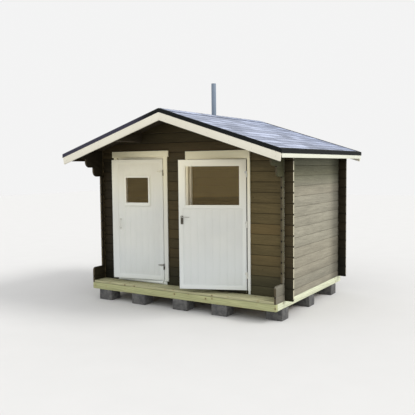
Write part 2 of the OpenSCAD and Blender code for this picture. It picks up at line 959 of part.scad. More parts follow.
// Backplates and levers on both faces, joined by the spindle through the stile.
module right_leaf_handle() {
    neck_l = lever_out - backplate[2];
    color("silver")
        right_swung()
            translate([right_edge - right_leaf_w + lever_x, leaf_y, right_foot + lever_z]) {
                for (y = [-backplate[2], leaf_t])
                    translate([-backplate[0] / 2, y, -plate_drop])
                        cube([backplate[0], backplate[2], backplate[1]]);
                for (y = [-backplate[2], leaf_t + lever_out])
                    translate([0, y, 0]) rotate([90, 0, 0]) cylinder(h = neck_l, r = neck_r);
                for (y = [lever_r - lever_out, leaf_t + lever_out - lever_r])
                    translate([0, y, 0]) rotate([0, 90, 0]) cylinder(h = lever_l, r = lever_r);
            }
}

// ---- hinges: the lower knuckle and its pin stay on the frame, the upper one lifts off ----

knuckle_gap = 1; // gap between the two knuckles of a hinge
pin_short = 6; // how far a pin ends below the upper knuckle's top
plate_in = 8; // how far a leaf's hinge plate ends short of its knuckle, above and below

module hinge_pin(axis_x, z, trim) {
    knuckle_h = hinge_h / 2;
    translate([axis_x, hinge_y, z]) {
        cylinder(h = knuckle_h, r = knuckle_r);
        cylinder(h = hinge_h - pin_short, r = pin_r);
    }
    translate([axis_x, leaf_y - hinge_t, z]) cube([min(trim, pin_plate_w), hinge_t, knuckle_h]);
}

module hinge_sleeve(axis_x, z, plate_w) {
    knuckle_h = hinge_h / 2 - knuckle_gap;
    foot = z + hinge_h / 2 + knuckle_gap;
    difference() {
        union() {
            translate([axis_x, hinge_y, foot]) cylinder(h = knuckle_h, r = knuckle_r);
            translate([axis_x - plate_w, leaf_y - hinge_t, foot + plate_in])
                cube([plate_w, hinge_t, knuckle_h - 2 * plate_in]);
        }
        translate([axis_x, hinge_y, z]) cylinder(h = hinge_h + knuckle_h, r = pin_r + pin_play);
    }
}

left_axis = hinge_x(left_start, left_w, left_gap);
right_axis = hinge_x(right_start, right_w, right_gap);
left_hinges = [left_foot + hinge_low, left_top - hinge_high];
right_hinges = [right_foot + hinge_low, right_foot + hinge_mid, right_top - hinge_high];

module left_door_hinge_pins() {
    color("silver") for (z = left_hinges) hinge_pin(left_axis, z, left_trim);
}

module right_door_hinge_pins() {
    color("silver") for (z = right_hinges) hinge_pin(right_axis, z, right_trim);
}

module left_leaf_hinges() {
    color("silver") left_swung() for (z = left_hinges) hinge_sleeve(left_axis, z, left_plate_w);
}

module right_leaf_hinges() {
    color("silver") right_swung() for (z = right_hinges) hinge_sleeve(right_axis, z, right_plate_w);
}

module left_door_frame() {
    color(paint_color) door_frame(left_start, left_w, left_top);
}

module left_door_casing() {
    color(paint_color)
        door_casing(left_start, left_w, left_top, left_trim, left_lip, left_lintel_gap, left_lintel_h);
}

module left_door_threshold() {
    color(paint_color) threshold_between_stops(left_start, left_w, left_sill, left_nose);
}

module right_door_frame() {
    color(paint_color) door_frame(right_start, right_w, right_top);
}

module right_door_casing() {
    color(paint_color)
        door_casing(right_start, right_w, right_top, right_trim, right_lip, right_lintel_gap,
            right_lintel_h);
}

module right_door_threshold() {
    color(log_color) threshold_between_stops(right_start, right_w, right_sill, right_nose);
}

foundation_blocks();
front_beam();
side_sills();
rear_sill();
floor_joists();
deck_boards();
floor_boards();
front_wall_left();
front_wall_middle();
front_wall_right();
front_gable();
rear_wall();
rear_gable();
left_wall();
right_wall();
ridge_beam();
purlins();
roof_boards_left();
roof_boards_right();
shingles_left();
shingles_right();
ridge_cap();
front_bargeboards();
rear_bargeboards();
eave_fascias();
front_verge_flashing();
rear_verge_flashing();
eave_flashings();
vent_pipe();
vent_boot();
left_door_frame();
left_door_casing();
left_door_threshold();
left_door_hinge_pins();
right_door_frame();
right_door_casing();
right_door_threshold();
right_door_hinge_pins();
left_leaf_frame();
left_leaf_panel();
left_leaf_bead();
left_leaf_glass();
left_leaf_pull();
left_leaf_hinges();
right_leaf_frame();
right_leaf_panel();
right_leaf_bead();
right_leaf_glass();
right_leaf_handle();
right_leaf_hinges();
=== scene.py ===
"""A small log tool shed: its timber, paint, shingles, glass and fittings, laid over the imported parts."""
import json
import random
from functools import partialmethod
from math import ceil, cos, radians, sin

import bmesh
import bpy
from mathutils import Matrix, Vector

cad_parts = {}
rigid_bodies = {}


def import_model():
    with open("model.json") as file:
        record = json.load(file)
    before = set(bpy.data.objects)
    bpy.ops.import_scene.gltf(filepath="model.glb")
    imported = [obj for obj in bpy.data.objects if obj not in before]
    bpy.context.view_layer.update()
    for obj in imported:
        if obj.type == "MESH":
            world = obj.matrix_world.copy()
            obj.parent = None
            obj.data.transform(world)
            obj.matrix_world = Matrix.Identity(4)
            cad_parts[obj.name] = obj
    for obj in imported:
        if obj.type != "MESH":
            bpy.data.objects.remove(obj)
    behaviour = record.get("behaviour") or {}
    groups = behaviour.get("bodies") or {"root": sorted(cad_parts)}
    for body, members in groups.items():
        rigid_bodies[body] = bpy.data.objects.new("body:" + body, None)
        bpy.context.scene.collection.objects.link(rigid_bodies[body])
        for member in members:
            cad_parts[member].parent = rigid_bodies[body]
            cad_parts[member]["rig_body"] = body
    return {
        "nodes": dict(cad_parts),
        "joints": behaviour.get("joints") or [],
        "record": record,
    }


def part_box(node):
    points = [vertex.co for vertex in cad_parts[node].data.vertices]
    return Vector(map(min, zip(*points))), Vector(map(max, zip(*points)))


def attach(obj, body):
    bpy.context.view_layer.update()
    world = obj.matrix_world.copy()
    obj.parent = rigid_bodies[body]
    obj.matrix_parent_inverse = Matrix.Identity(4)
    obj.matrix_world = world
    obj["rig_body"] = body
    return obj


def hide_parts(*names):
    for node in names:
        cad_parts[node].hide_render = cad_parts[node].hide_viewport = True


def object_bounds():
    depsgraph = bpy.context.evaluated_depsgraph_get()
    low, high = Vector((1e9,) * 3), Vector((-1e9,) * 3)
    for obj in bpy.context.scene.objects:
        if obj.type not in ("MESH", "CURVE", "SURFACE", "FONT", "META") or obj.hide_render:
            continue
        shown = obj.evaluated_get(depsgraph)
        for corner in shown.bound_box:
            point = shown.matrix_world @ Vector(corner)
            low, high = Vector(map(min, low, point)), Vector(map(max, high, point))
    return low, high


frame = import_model()
cad_low, cad_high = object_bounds()
nodes = frame["nodes"]
slot_of = {part["node"]: part["material_slot"] for part in frame["record"]["subparts"]}
hinges = {joint["name"].split("_")[0]: joint for joint in frame["joints"]}
chance = random.Random(7)

MM = 0.001
UP = Vector((0, 0, 1))
RIGHT = Vector((1, 0, 0))


# ---------------- working with pieces

PLANED_FROM = 30  # degrees: an edge sharper than this is planed round
SMOOTH_TO = 35  # degrees: faces that meet flatter than this shade as one
FLAT_WITHIN = 0.5  # degrees: faces this near to one plane become one
MERGE_WITHIN = 0.01 * MM
LOOKS_UP = 0.5  # the least upward share of a roof's or a block's top
SQUARE = 0.9  # the least share at which a face looks along an axis


def deselect():
    bpy.ops.object.select_all(action="DESELECT")


def pick(piece):
    deselect()
    piece.select_set(True)
    bpy.context.view_layer.objects.active = piece


def settle(piece):
    """Puts the piece's place into its mesh, and its object at the frame's origin."""
    pick(piece)
    bpy.ops.object.transform_apply(location=True, rotation=True, scale=True)
    return piece


def apply_modifier(piece, kind, **settings):
    pick(piece)
    modifier = piece.modifiers.new(kind.lower(), kind)
    for key, value in settings.items():
        setattr(modifier, key, value)
    bpy.ops.object.modifier_apply(modifier=modifier.name)
    return piece


def round_edges(piece, width, segments=2, angle=PLANED_FROM):
    apply_modifier(piece, "BEVEL", width=width, segments=segments, limit_method="ANGLE",
                   angle_limit=radians(angle), use_clamp_overlap=True)
    pick(piece)
    bpy.ops.object.shade_smooth_by_angle(angle=radians(SMOOTH_TO))
    return piece


def block(name, low, high):
    """A block between two opposite corners, ready to be shaped."""
    deselect()
    middle, size = (Vector(low) + Vector(high)) / 2, Vector(high) - Vector(low)
    bpy.ops.mesh.primitive_cube_add(size=1, location=middle, scale=[abs(span) for span in size])
    piece = bpy.context.active_object
    piece.name = name
    return settle(piece)


def rod(name, foot, radius, length, sides, turn=(0, 0, 0)):
    """A round bar that starts at foot and runs up, or along the way that turn gives it."""
    deselect()
    bpy.ops.mesh.primitive_cylinder_add(vertices=sides, radius=radius, depth=length,
                                        location=(0, 0, length / 2))
    piece = bpy.context.active_object
    piece.name = name
    settle(piece)
    piece.rotation_euler = turn
    piece.location = foot
    return settle(piece)


def edit(piece):
    pick(piece)
    bpy.ops.object.mode_set(mode="EDIT")


def leave_edit():
    bpy.ops.object.mode_set(mode="OBJECT")


def select_facing(piece, *ways):
    """Starts editing a piece, with only the faces picked that look along one of the ways."""
    edit(piece)
    bpy.ops.mesh.select_mode(type="FACE")
    bpy.ops.mesh.select_all(action="DESELECT")
    mesh = bmesh.from_edit_mesh(piece.data)
    for face in mesh.faces:
        face.select_set(any(face.normal.dot(way) > SQUARE for way in ways))
    bmesh.update_edit_mesh(piece.data)


def copy_at(model, matrix, tone=None):
    """A copy of a piece with its own mesh, moved by the matrix, and maybe its own shade."""
    piece = model.copy()
    piece.data = model.data.copy()
    piece.data.transform(matrix)
    bpy.context.scene.collection.objects.link(piece)
    if tone is not None:
        layer = piece.data.attributes.new("tone", "FLOAT", "POINT")
        layer.data.foreach_set("value", [tone] * len(piece.data.vertices))
    return piece


def join(name, pieces):
    pick(pieces[0])
    for piece in pieces:
        piece.select_set(True)
    bpy.ops.object.join()
    pieces[0].name = name
    return pieces[0]


def copies(name, model, places, cut=False):
    """Copies of a model, each with its own shade, made one; cut lets the vent pipe through."""
    made = [copy_at(model, place, chance.random()) for place in places]
    bpy.data.objects.remove(model)
    return join(name, [pipe_hole(piece) for piece in made] if cut else made)


def coat(piece, finish):
    piece.data.materials.clear()
    piece.data.materials.append(finish.material)


def fit(piece, finish, slot, body, *stands_for):
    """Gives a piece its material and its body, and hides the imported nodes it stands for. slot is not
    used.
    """
    coat(piece, finish)
    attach(piece, body)
    if stands_for:
        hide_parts(*stands_for)


def finish_node(node, finish):
    """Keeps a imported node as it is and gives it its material."""
    piece = nodes[node]
    if not piece.material_slots:
        piece.data.materials.append(None)
    for slot in piece.material_slots:
        slot.link = "OBJECT"
        slot.material = finish.material


def dress(node, finish, edge, segments=2):
    """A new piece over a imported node, its faces made whole and its edges planed round."""
    source = nodes[node]
    piece = copy_at(source, Matrix.Identity(4))
    for key in list(piece.keys()):
        del piece[key]
    piece.parent = None
    piece.matrix_world = Matrix.Identity(4)
    piece.name = node + "_dressed"
    edit(piece)
    bpy.ops.mesh.select_mode(type="VERT")
    bpy.ops.mesh.select_all(action="SELECT")
    bpy.ops.mesh.customdata_custom_splitnormals_clear()
    bpy.ops.mesh.remove_doubles(threshold=MERGE_WITHIN)
    bpy.ops.mesh.dissolve_limited(angle_limit=radians(FLAT_WITHIN))
    leave_edit()
    round_edges(piece, edge, segments)
    fit(piece, finish, slot_of[node], source["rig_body"], node)


# ---------------- the roof's two slopes

COURSES_UP = 13  # courses of shingles from eave to ridge


class Slope:
    """One side of the roof. Its own axes run down the slope, along the ridge and out of the roof.
    Heights are square to the slope, from the boards' underside."""

    def __init__(self, name, side):
        low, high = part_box("shingles_" + name)
        boards_low, boards_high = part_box("roof_boards_" + name)
        faces = [face for face in nodes["shingles_" + name].data.polygons
                 if face.normal.z > LOOKS_UP]
        normal = max(faces, key=lambda face: face.area).normal
        self.down = Vector((side * normal.z, 0, -side * normal.x))
        self.out = normal.copy()
        self.along = self.out.cross(self.down)
        self.front, self.rear = low.y, high.y
        self.reach = (high.x - low.x) / normal.z
        self.exposure = self.reach / COURSES_UP
        self.board_reach = (boards_high.x - boards_low.x) / normal.z
        fall = (boards_high.x - boards_low.x) * abs(normal.x) / normal.z
        self.board_height = (boards_high.z - boards_low.z - fall) * normal.z
        self.ridge = Vector((0, 0, boards_high.z)) - UP * self.board_height / normal.z
        self.top_height = (high.z - self.ridge.z) * normal.z

    def place(self, down, y, out):
        """The matrix that lays a piece on the slope at a distance below the ridge and at y."""
        axes = Matrix((self.down, self.along, self.out)).transposed().to_4x4()
        spot = self.ridge + self.down * down + self.out * out + Vector((0, y, 0))
        return Matrix.Translation(spot) @ axes


slopes = {"left": Slope("left", -1), "right": Slope("right", 1)}
pitch = slopes["right"].out.angle(UP)


# ---------------- materials

class Level:
    """A number that changes over a surface; arithmetic on it adds the Math nodes."""

    def __init__(self, owner, socket):
        self.owner = owner
        self.socket = socket

    def math(self, operation, *others):
        inputs = dict(enumerate((self, *others)))
        return self.owner.node("Math", {"operation": operation}, inputs)

    __add__ = __radd__ = partialmethod(math, "ADD")
    __sub__ = partialmethod(math, "SUBTRACT")
    __mul__ = __rmul__ = partialmethod(math, "MULTIPLY")
    __truediv__ = partialmethod(math, "DIVIDE")
    floor = partialmethod(math, "FLOOR")
    absolute = partialmethod(math, "ABSOLUTE")
    above = partialmethod(math, "GREATER_THAN")
    most = partialmethod(math, "MAXIMUM")

    def __rsub__(self, other):
        """What is left of other, as in 1 - mask."""
        return self.math("MULTIPLY_ADD", -1, other)

    def between(self, start, end):
        """0 before start, 1 after end, with a smooth step in between."""
        return self.owner.node("MapRange", {"interpolation_type": "SMOOTHSTEP"},
                               {"Value": self, "From Min": start, "From Max": end})


class Nodes:
    """A node tree; node() adds a node, with its settings and its sockets' values or links."""

    def __init__(self, tree):
        self.tree = tree

    def fill(self, socket, value):
        if isinstance(value, Level):
            self.tree.links.new(value.socket, socket)
        elif isinstance(value, tuple) and len(value) == 3 and socket.type == "RGBA":
            socket.default_value = (*value, 1)
        else:
            socket.default_value = value

    def node(self, kind, settings=None, inputs=None, output=0):
        made = self.tree.nodes.new("ShaderNode" + kind)
        for key, value in (settings or {}).items():
            setattr(made, key, value)
        for key, value in (inputs or {}).items():
            self.fill(made.inputs[key], value)
        return Level(self, made.outputs[output])

    def seen(self):
        """1 for the rays of the camera, glass and metal, and 0 for those that light a thing."""
        direct, glossy, through = [self.node("LightPath", output=f"Is {kind} Ray")
                                   for kind in ("Camera", "Glossy", "Transmission")]
        return direct.most(glossy).most(through)


class Finish(Nodes):
    """A material, with the patterns that finishes are made of."""

    def __init__(self, name):
        self.material = bpy.data.materials.new(name)
        self.material.use_nodes = True
        super().__init__(self.material.node_tree)

    def place(self, scale=(1, 1, 1), shift=(0, 0, 0)):
        """Where a point lies on the object, stretched and shifted."""
        spot = self.node("TexCoord", output="Object")
        return self.node("Mapping", None, {"Vector": spot, "Scale": scale, "Location": shift})

    def along(self, axis, coordinates="Object"):
        spot = self.node("TexCoord", output=coordinates)
        return self.node("SeparateXYZ", None, {"Vector": spot}, axis)

    def noise(self, size, detail=3, rough=0.55, place=None):
        return self.node("TexNoise", None, {"Vector": place or self.place(), "Scale": 1 / size,
                                            "Detail": detail, "Roughness": rough})

    def cells(self, size, output="Distance", place=None):
        return self.node("TexVoronoi", None, {"Vector": place or self.place(), "Scale": 1 / size},
                         output)

    def lot(self, number):
        """A random value from 0 to 1 that stays the same for the same number."""
        return self.node("TexWhiteNoise", {"noise_dimensions": "1D"}, {"W": number})

    def own_tone(self):
        """The shade that each copied board or tab was given."""
        return self.node("Attribute", {"attribute_name": "tone"}, None, "Fac")

    def mix(self, first, second, share, how="MIX"):
        """A colour between two, or one laid over the other."""
        return self.node("Mix", {"data_type": "RGBA", "blend_type": how},
                         {0: share, 6: first, 7: second}, 2)

    def brighten(self, colour, amount):
        """A colour multiplied by a number."""
        shade = self.node("CombineColor", None, {0: amount, 1: amount, 2: amount})
        return self.mix(colour, shade, 1.0, "MULTIPLY")

    def surface(self, colour, rough, relief=None, gloss=0.5, metallic=0.0, alpha=1.0):
        """Fills the shader. relief is a height, how far it stands up, and how strongly."""
        sockets = {"Base Color": colour, "Roughness": rough, "Specular IOR Level": gloss,
                   "Metallic": metallic, "Alpha": alpha}
        if relief:
            inputs = dict(zip(("Height", "Distance", "Strength"), relief))
            sockets["Normal"] = self.node("Bump", None, inputs)
        for name, value in sockets.items():
            self.fill(self.tree.nodes["Principled BSDF"].inputs[name], value)
        return self


def srgb(red, green, blue):
    """A colour written from 0 to 255, as the shader takes it."""
    def linear(value):
        share = value / 255
        return share / 12.92 if share <= 0.04045 else ((share + 0.055) / 1.055) ** 2.4
    return linear(red), linear(green), linear(blue)


def grey(share):
    return share, share, share


def toned(colour, amount):
    """A plain colour made lighter or darker."""
    return tuple(min(part * amount, 1.0) for part in colour)


RED_BROWN = (1.2, 1.02, 0.88)


def warmed(colour):
    """A plain colour turned towards red brown."""
    return tuple(part * share for part, share in zip(colour, RED_BROWN))


def stretched(axis, ratio):
    """Scales that draw a pattern out along one axis."""
    return tuple(1 / ratio if axis == each else 1 for each in "XYZ")


class Timber(Finish):
    """Sawn or planed wood: growth rings, fine fibres and knots, running along one axis. A pattern
    is drawn out along the grain by its run, and has a size in metres, a detail and a roughness."""

    RINGS = {"Scale": 26, "Distortion": 9, "Detail": 2, "Detail Scale": 1.4, "Detail Roughness": 0.5}
    RING_RUN = 26
    KNOT = (4 * MM, 13 * MM)  # from a knot's solid middle to its edge
    RIM, RIM_WIDTH = 14 * MM, 7 * MM  # the paler wood round a knot
    END = (0.75, 0.95)  # how squarely a face looks along the grain to be an end

    def __init__(self, name, axis, seed, knotless=0.62, knot_every=0.21, knot_scale=1.0):
        super().__init__(name)
        self.axis = axis
        shift = (seed, seed * 1.7, seed * 2.3)
        self.fibres = self.figure(shift, run=14, size=3.5 * MM, detail=4, rough=0.6)
        self.rings = self.node(
            "TexWave", {"wave_type": "BANDS", "bands_direction": "DIAGONAL", "wave_profile": "SIN"},
            {"Vector": self.place(stretched(axis, self.RING_RUN), shift), **self.RINGS}, 1)
        spots = self.place(shift=shift)
        present = self.lot(self.cells(knot_every, "Color", spots)).above(knotless)
        reach = self.cells(knot_every, place=spots) * (knot_every / knot_scale)
        self.knots = (1 - reach.between(*self.KNOT)) * present
        self.knot_rims = (1 - (reach - self.RIM).absolute().between(0.0, self.RIM_WIDTH)) * present

    def figure(self, shift, run, size, detail=3, rough=0.55):
        return self.noise(size, detail, rough, self.place(stretched(self.axis, run), shift))

    def ends(self):
        """1 on the sawn ends, where the fibres meet the face."""
        return self.along(self.axis, "Normal").absolute().between(*self.END)

    def grain(self, fibre_share, ring_share):
        return self.fibres * fibre_share + self.rings * ring_share

    def planed(self, colour, relief, rough, rougher=0.2, gloss=0.3):
        """The closed surface, which the fibres leave rougher."""
        return self.surface(colour, rough + self.fibres * rougher, relief, gloss)


COURSE = 0.1338  # one log's height, joint to joint
FIRST_RISE = 0.0195  # from the wall's foot to the front logs' first joint
SEAM = (0.45, 0.5)  # a joint's dark line, in courses from a log's middle
END_JOINT_SHADOW = (0.39, 0.44)  # painted shadow of each joint's V on the sawn ends, a wider band, in courses from a log's middle
GRAIN_LIGHT, GRAIN_DARK = 1.24, 0.7
RED_LOGS = 0.76  # logs whose lot lies above this are redder
WORN, WEAR_TONE, WEAR_SHARE = (0.62, 0.8), 1.7, 0.3
# The last is the tone of the painted joint shadow on the sawn ends.
KNOT_TONE, SEAM_TONE, END_SHADOW_TONE = 0.3, 0.16, 0.08


def log_tone(wood, colour, lot, seed, vary):
    """Each log its own tone, with slow clouds and streaks along it."""
    cloud = wood.figure((seed, 3, 1), run=4, size=0.16)
    streak = wood.figure((seed, 7, 4), run=12, size=0.03, detail=2, rough=0.5)
    base = 0.54 - vary * 0.3
    return wood.brighten(colour, base + lot * vary * 0.6 + cloud * 0.4 + streak * 0.52)


def log_stain(name, axis, face_tone, end_tone, start, shade, seed, vary, darker=(), seam_share=0.7):
    """Dark stain on stacked logs: every course its own tone, soft grain, and a dark line between. darker
    lists where the colour is darkened, mostly as painted shade and partly as a darker foot: along which
    axis, from where to where, its tint, and maybe a second axis with its own from and to. shade darkens
    the whole finish, as painted shade on walls that lie in shade."""
    wood = Timber(name, axis, seed)
    height = (wood.along("Z") - start) / COURSE
    number = height.floor()
    lot = wood.lot(number + seed)
    from_middle = ((height - number) - 0.5).absolute()
    wear = wood.figure((2, seed, 5), run=9, size=0.02, rough=0.6)
    grain = wood.fibres.between(0.3, 0.7) * 0.5 + wood.rings * 0.25
    colour = wood.mix(toned(face_tone, GRAIN_LIGHT), toned(face_tone, GRAIN_DARK), grain)
    colour = wood.mix(colour, warmed(face_tone), lot.above(RED_LOGS) * vary)
    colour = log_tone(wood, colour, lot, seed, vary)
    colour = wood.mix(colour, toned(face_tone, WEAR_TONE), wear.between(*WORN) * WEAR_SHARE)
    colour = wood.mix(colour, toned(face_tone, KNOT_TONE), wood.knots * 0.7)
    for line, first, last, tint, *also in darker:
        share = wood.along(line).between(first, last)
        if also:
            share = share * wood.along(also[0]).between(*also[1:])
        colour = wood.mix(colour, tint, share, "MULTIPLY")
    colour = wood.mix(colour, toned(face_tone, SEAM_TONE), from_middle.between(*SEAM) * seam_share)
    # The sawn ends: their own tone, with painted shadow where each joint's V meets them.
    end_colour = wood.mix(end_tone, toned(end_tone, END_SHADOW_TONE), from_middle.between(*END_JOINT_SHADOW))
    colour = wood.brighten(wood.mix(colour, end_colour, wood.ends()), shade)
    relief = wood.grain(0.5, 0.2) - wood.knots * 0.3
    return wood.planed(colour, (relief, 0.5 * MM, 0.4), 0.6, gloss=0.2)


def roof_wood():
    wood = Timber("roof_wood", "X", 3.1)
    dark, light, knot_brown = srgb(40, 34, 24), srgb(66, 56, 40), srgb(28, 21, 13)
    grain = wood.grain(0.5, 0.5)
    colour = wood.mix(wood.mix(dark, light, grain), knot_brown, wood.knots * 0.8)
    return wood.planed(colour, (grain, 0.6 * MM, 0.5), 0.6)


BEAM_SHADOW_LINE = (2.5 * MM, 5.5 * MM)  # the painted shadow line between the beam and the boards


def treated_timber(name, axis, tone, seed, shadow_line_height):
    """Pressure treated pine: greenish straw, with faint grain, a few brown knots, and a painted shadow
    line where the boards sit on the beam.
    """
    wood = Timber(name, axis, seed, knotless=0.4, knot_every=0.09, knot_scale=1.3)
    rim_straw, knot_brown = srgb(168, 150, 104), srgb(84, 58, 32)
    grain = wood.grain(0.4, 0.6)
    cloud = wood.figure((seed, 1, 2), run=6, size=0.09)
    colour = wood.mix(toned(tone, 1.1), toned(tone, 0.86), grain.between(0.2, 0.8))
    colour = wood.brighten(colour, 0.84 + cloud * 0.32)
    colour = wood.mix(colour, rim_straw, wood.knot_rims * 0.35)
    colour = wood.mix(colour, knot_brown, wood.knots * 0.85)
    end_colour = wood.mix(toned(tone, 1.15), toned(tone, 0.8), wood.noise(6 * MM, 2, 0.6))
    colour = wood.mix(colour, end_colour, wood.ends())
    # A painted shadow line at the beam's top, where the boards sit on it.
    line = 1 - (wood.along("Z") - shadow_line_height).absolute().between(*BEAM_SHADOW_LINE)
    colour = wood.mix(colour, toned(tone, 0.22), line * 0.6)
    return wood.planed(colour, (grain - wood.knots * 0.3, 0.5 * MM, 0.4), 0.66, rougher=0.18)


def floor_pine():
    wood = Timber("floor_pine", "Y", 5.7)
    pale, golden, knot_brown = srgb(176, 140, 92), srgb(212, 180, 128), srgb(104, 66, 34)
    grain = wood.grain(0.4, 0.6)
    colour = wood.mix(wood.mix(pale, golden, grain), knot_brown, wood.knots * 0.85)
    colour = wood.brighten(colour, 0.82 + wood.own_tone() * 0.3)
    return wood.planed(colour, (grain, 0.4 * MM, 0.5), 0.5, gloss=0.5)


WARM_LIGHT_HEIGHTS = (1.15, 2.05)  # heights between which painted warm light makes a door's paint yellower
COOL_LIGHT_HEIGHTS = (1.1, 0.45)  # and, downwards, painted cool light makes it cooler
# The painted cool light's tint, and the brown of the painted shade behind a board.
COOL_LIGHT_TINT, BACK_SHADE_BROWN = srgb(220, 227, 230), srgb(58, 48, 34)


def paint(name, tone, shade, axis, seed, warm_light=None, back=None):
    """Brushed paint on wood: soft brush marks and thin dust, with painted warm light high up and painted
    cool light low down where a warm light colour is given, and painted brown shade behind the line that
    back gives. Colours run to 255."""
    film = Finish(name)
    brush = film.noise(3 * MM, 3, 0.6, film.place(stretched(axis, 30), (seed, seed, seed)))
    cloud = film.noise(0.35, place=film.place(shift=(seed, 0, seed)))
    colour = film.mix(srgb(*tone), srgb(*shade), cloud.between(0.3, 0.8) * 0.6 + brush * 0.25)
    # Painted warm light high up and painted cool light low down.
    if warm_light:
        height = film.along("Z")
        colour = film.mix(colour, srgb(*warm_light), height.between(*WARM_LIGHT_HEIGHTS) * 0.9)
        colour = film.mix(colour, COOL_LIGHT_TINT, height.between(*COOL_LIGHT_HEIGHTS) * 0.55)
    # Behind the line: painted brown shade on the board's back.
    if back:
        shaded_back = film.along("X").absolute().between(back, back - 4 * MM)
        colour = film.mix(colour, BACK_SHADE_BROWN, shaded_back)
    return film.surface(colour, 0.4 + brush * 0.16, (brush, 0.2 * MM, 0.3), gloss=0.35)


def cast_concrete():
    stone = Finish("cast_concrete")
    dark, light, hollow = srgb(82, 82, 83), srgb(112, 112, 110), srgb(62, 61, 59)
    coarse = stone.noise(50 * MM, 5, 0.62)
    fine = stone.noise(4 * MM, 3, 0.6)
    pores = 1 - stone.cells(11 * MM).between(0.08, 0.3)
    colour = stone.brighten(stone.mix(dark, light, coarse.between(0.3, 0.7)), 0.82 + fine * 0.36)
    colour = stone.mix(colour, hollow, pores * 0.6)
    relief = coarse * 0.5 + fine * 0.3 - pores * 0.6
    return stone.surface(colour, 0.93, (relief, 2.5 * MM, 0.7), gloss=0.2)


BUTT_SHADOW = (0.02, 0.2)  # the painted shadow band above each butt, in courses
REAR_FADE = (-0.3, 1.2)  # the slopes darken a little from front to rear
REAR_TINT = (0.8, 0.82, 0.86)


def mineral_shingle(exposure):
    """Bitumen under blue-grey granules: each tab its own shade, and a painted shadow band by each butt."""
    felt = Finish("mineral_shingle")
    dark, light, butt_shadow_tone = srgb(124, 130, 148), srgb(178, 186, 206), srgb(62, 67, 82)
    speck = felt.lot(felt.cells(2.8 * MM, "Color"))
    mottle = felt.noise(30 * MM, 4, 0.65)
    patch = felt.noise(0.35, 3, 0.5, felt.place(shift=(4, 2, 0)))
    step = felt.along("X").absolute() / (exposure * cos(pitch))
    # A painted shadow band by each butt.
    shadow_band = 1 - (step - step.floor()).between(*BUTT_SHADOW)
    colour = felt.mix(dark, light, speck * 0.5 + mottle * 0.5)
    colour = felt.brighten(colour, 0.64 + felt.own_tone() * 0.7 + patch * 0.2)
    colour = felt.mix(colour, butt_shadow_tone, shadow_band * 0.75)
    colour = felt.mix(colour, REAR_TINT, felt.along("Y").between(*REAR_FADE), "MULTIPLY")
    relief = speck * 0.6 + mottle * 0.4
    return felt.surface(colour, 0.92, (relief, 1.2 * MM, 0.6), gloss=0.25)


def black_sheet():
    """Black coated sheet, greyer towards the left eave."""
    sheet = Finish("black_sheet")
    black, soft_black, slate = srgb(20, 22, 22), srgb(34, 37, 36), srgb(70, 69, 84)
    cloud = sheet.noise(90 * MM, 3, 0.6)
    dust = sheet.noise(6 * MM, 3, 0.6)
    colour = sheet.mix(black, soft_black, cloud * 0.6 + dust * 0.3)
    colour = sheet.mix(colour, slate, sheet.along("X").between(-0.1, -0.5) * 0.85)
    return sheet.surface(colour, 0.5 + cloud * 0.2, (cloud, 0.5 * MM, 0.3), gloss=0.06)


def grey_pipe():
    pipe = Finish("grey_pipe")
    streak = pipe.noise(10 * MM, place=pipe.place(stretched("Z", 12)))
    cloud = pipe.noise(0.12, 2, 0.5)
    colour = pipe.mix(srgb(104, 118, 134), srgb(132, 145, 160), streak * 0.5 + cloud * 0.5)
    return pipe.surface(colour, 0.42 + cloud * 0.15, (streak, 0.2 * MM, 0.3))


LOW_TONE_HEIGHTS = (0.9, 1.1)  # heights below which the fittings are darker
SLEEVE_SHADE = 0.62


def steel(name, dark, light, rough, size, metallic=0.9, low_tone=None, sleeve=None):
    """Zinc coated or worn steel with soft crystals and fine scratches, darker low down where a lower tone
    is given, and darker still past the line where a hinge's sleeve starts. Colours run to 255."""
    metal = Finish(name)
    sheen = metal.lot(metal.cells(size, "Color"))
    scratch = metal.noise(1.2 * MM, 2, 0.6, metal.place(stretched("Z", 10)))
    colour = metal.mix(srgb(*dark), srgb(*light), sheen * 0.6 + scratch * 0.4)
    if low_tone:
        colour = metal.mix(colour, srgb(*low_tone), 1 - metal.along("Z").between(*LOW_TONE_HEIGHTS))
    if sleeve:
        past = metal.along("X").between(sleeve - 1 * MM, sleeve + 1 * MM)
        colour = metal.brighten(colour, 1 - past * SLEEVE_SHADE)
    return metal.surface(colour, rough + sheen * 0.12, (scratch, 0.1 * MM, 0.3), metallic=metallic)


def window_glass():
    """Clear glass that mirrors more the flatter one looks along it; its mirrored light is tinted warm, a
    painted reflection of warm surroundings.
    """
    glass = Finish("window_glass")
    gleam = glass.node("Fresnel", None, {"IOR": 1.45})
    dust = glass.noise(50 * MM, 3, 0.6)
    glass.material.surface_render_method = "BLENDED"
    return glass.surface(srgb(226, 198, 140), 0.02, metallic=1.0, alpha=gleam * 1.15 + dust * 0.03)


# ---------------- this shed's own finishes

wall_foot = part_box("rear_wall")[0].z + FIRST_RISE
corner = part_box("right_wall")[1].x
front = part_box("front_wall_right")[0].y
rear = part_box("rear_wall")[1].y
beam_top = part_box("front_beam")[1].z

# The second colour here is the side logs' sawn ends, which face front, darker than the other ends as
# painted shade.
BROWN, SIDE_END_PAINTED_SHADE = srgb(93, 81, 52), srgb(82, 74, 56)
# The second colour here is the front right logs' sawn ends, lighter than the others as painted sunlight.
LOG_END, LOG_END_PAINTED_SUN = srgb(156, 150, 132), srgb(198, 192, 167)
# The logs darker towards the wall's foot, in two strengths.
SOFT_DARK_FOOT = ("Z", 1.0, 0.3, (0.47, 0.57, 0.70))
DARK_FOOT = ("Z", 1.0, 0.3, (0.35, 0.43, 0.49))
# Past the side wall's face: the front and rear logs' projecting ends get painted shade.
CORNER_SHADE_EDGE = (corner - 2 * MM, corner + 2 * MM)
# In front of the front wall: the side logs' projecting ends get painted shade.
BRACKET_SHADE_EDGE = (front, front - 30 * MM)


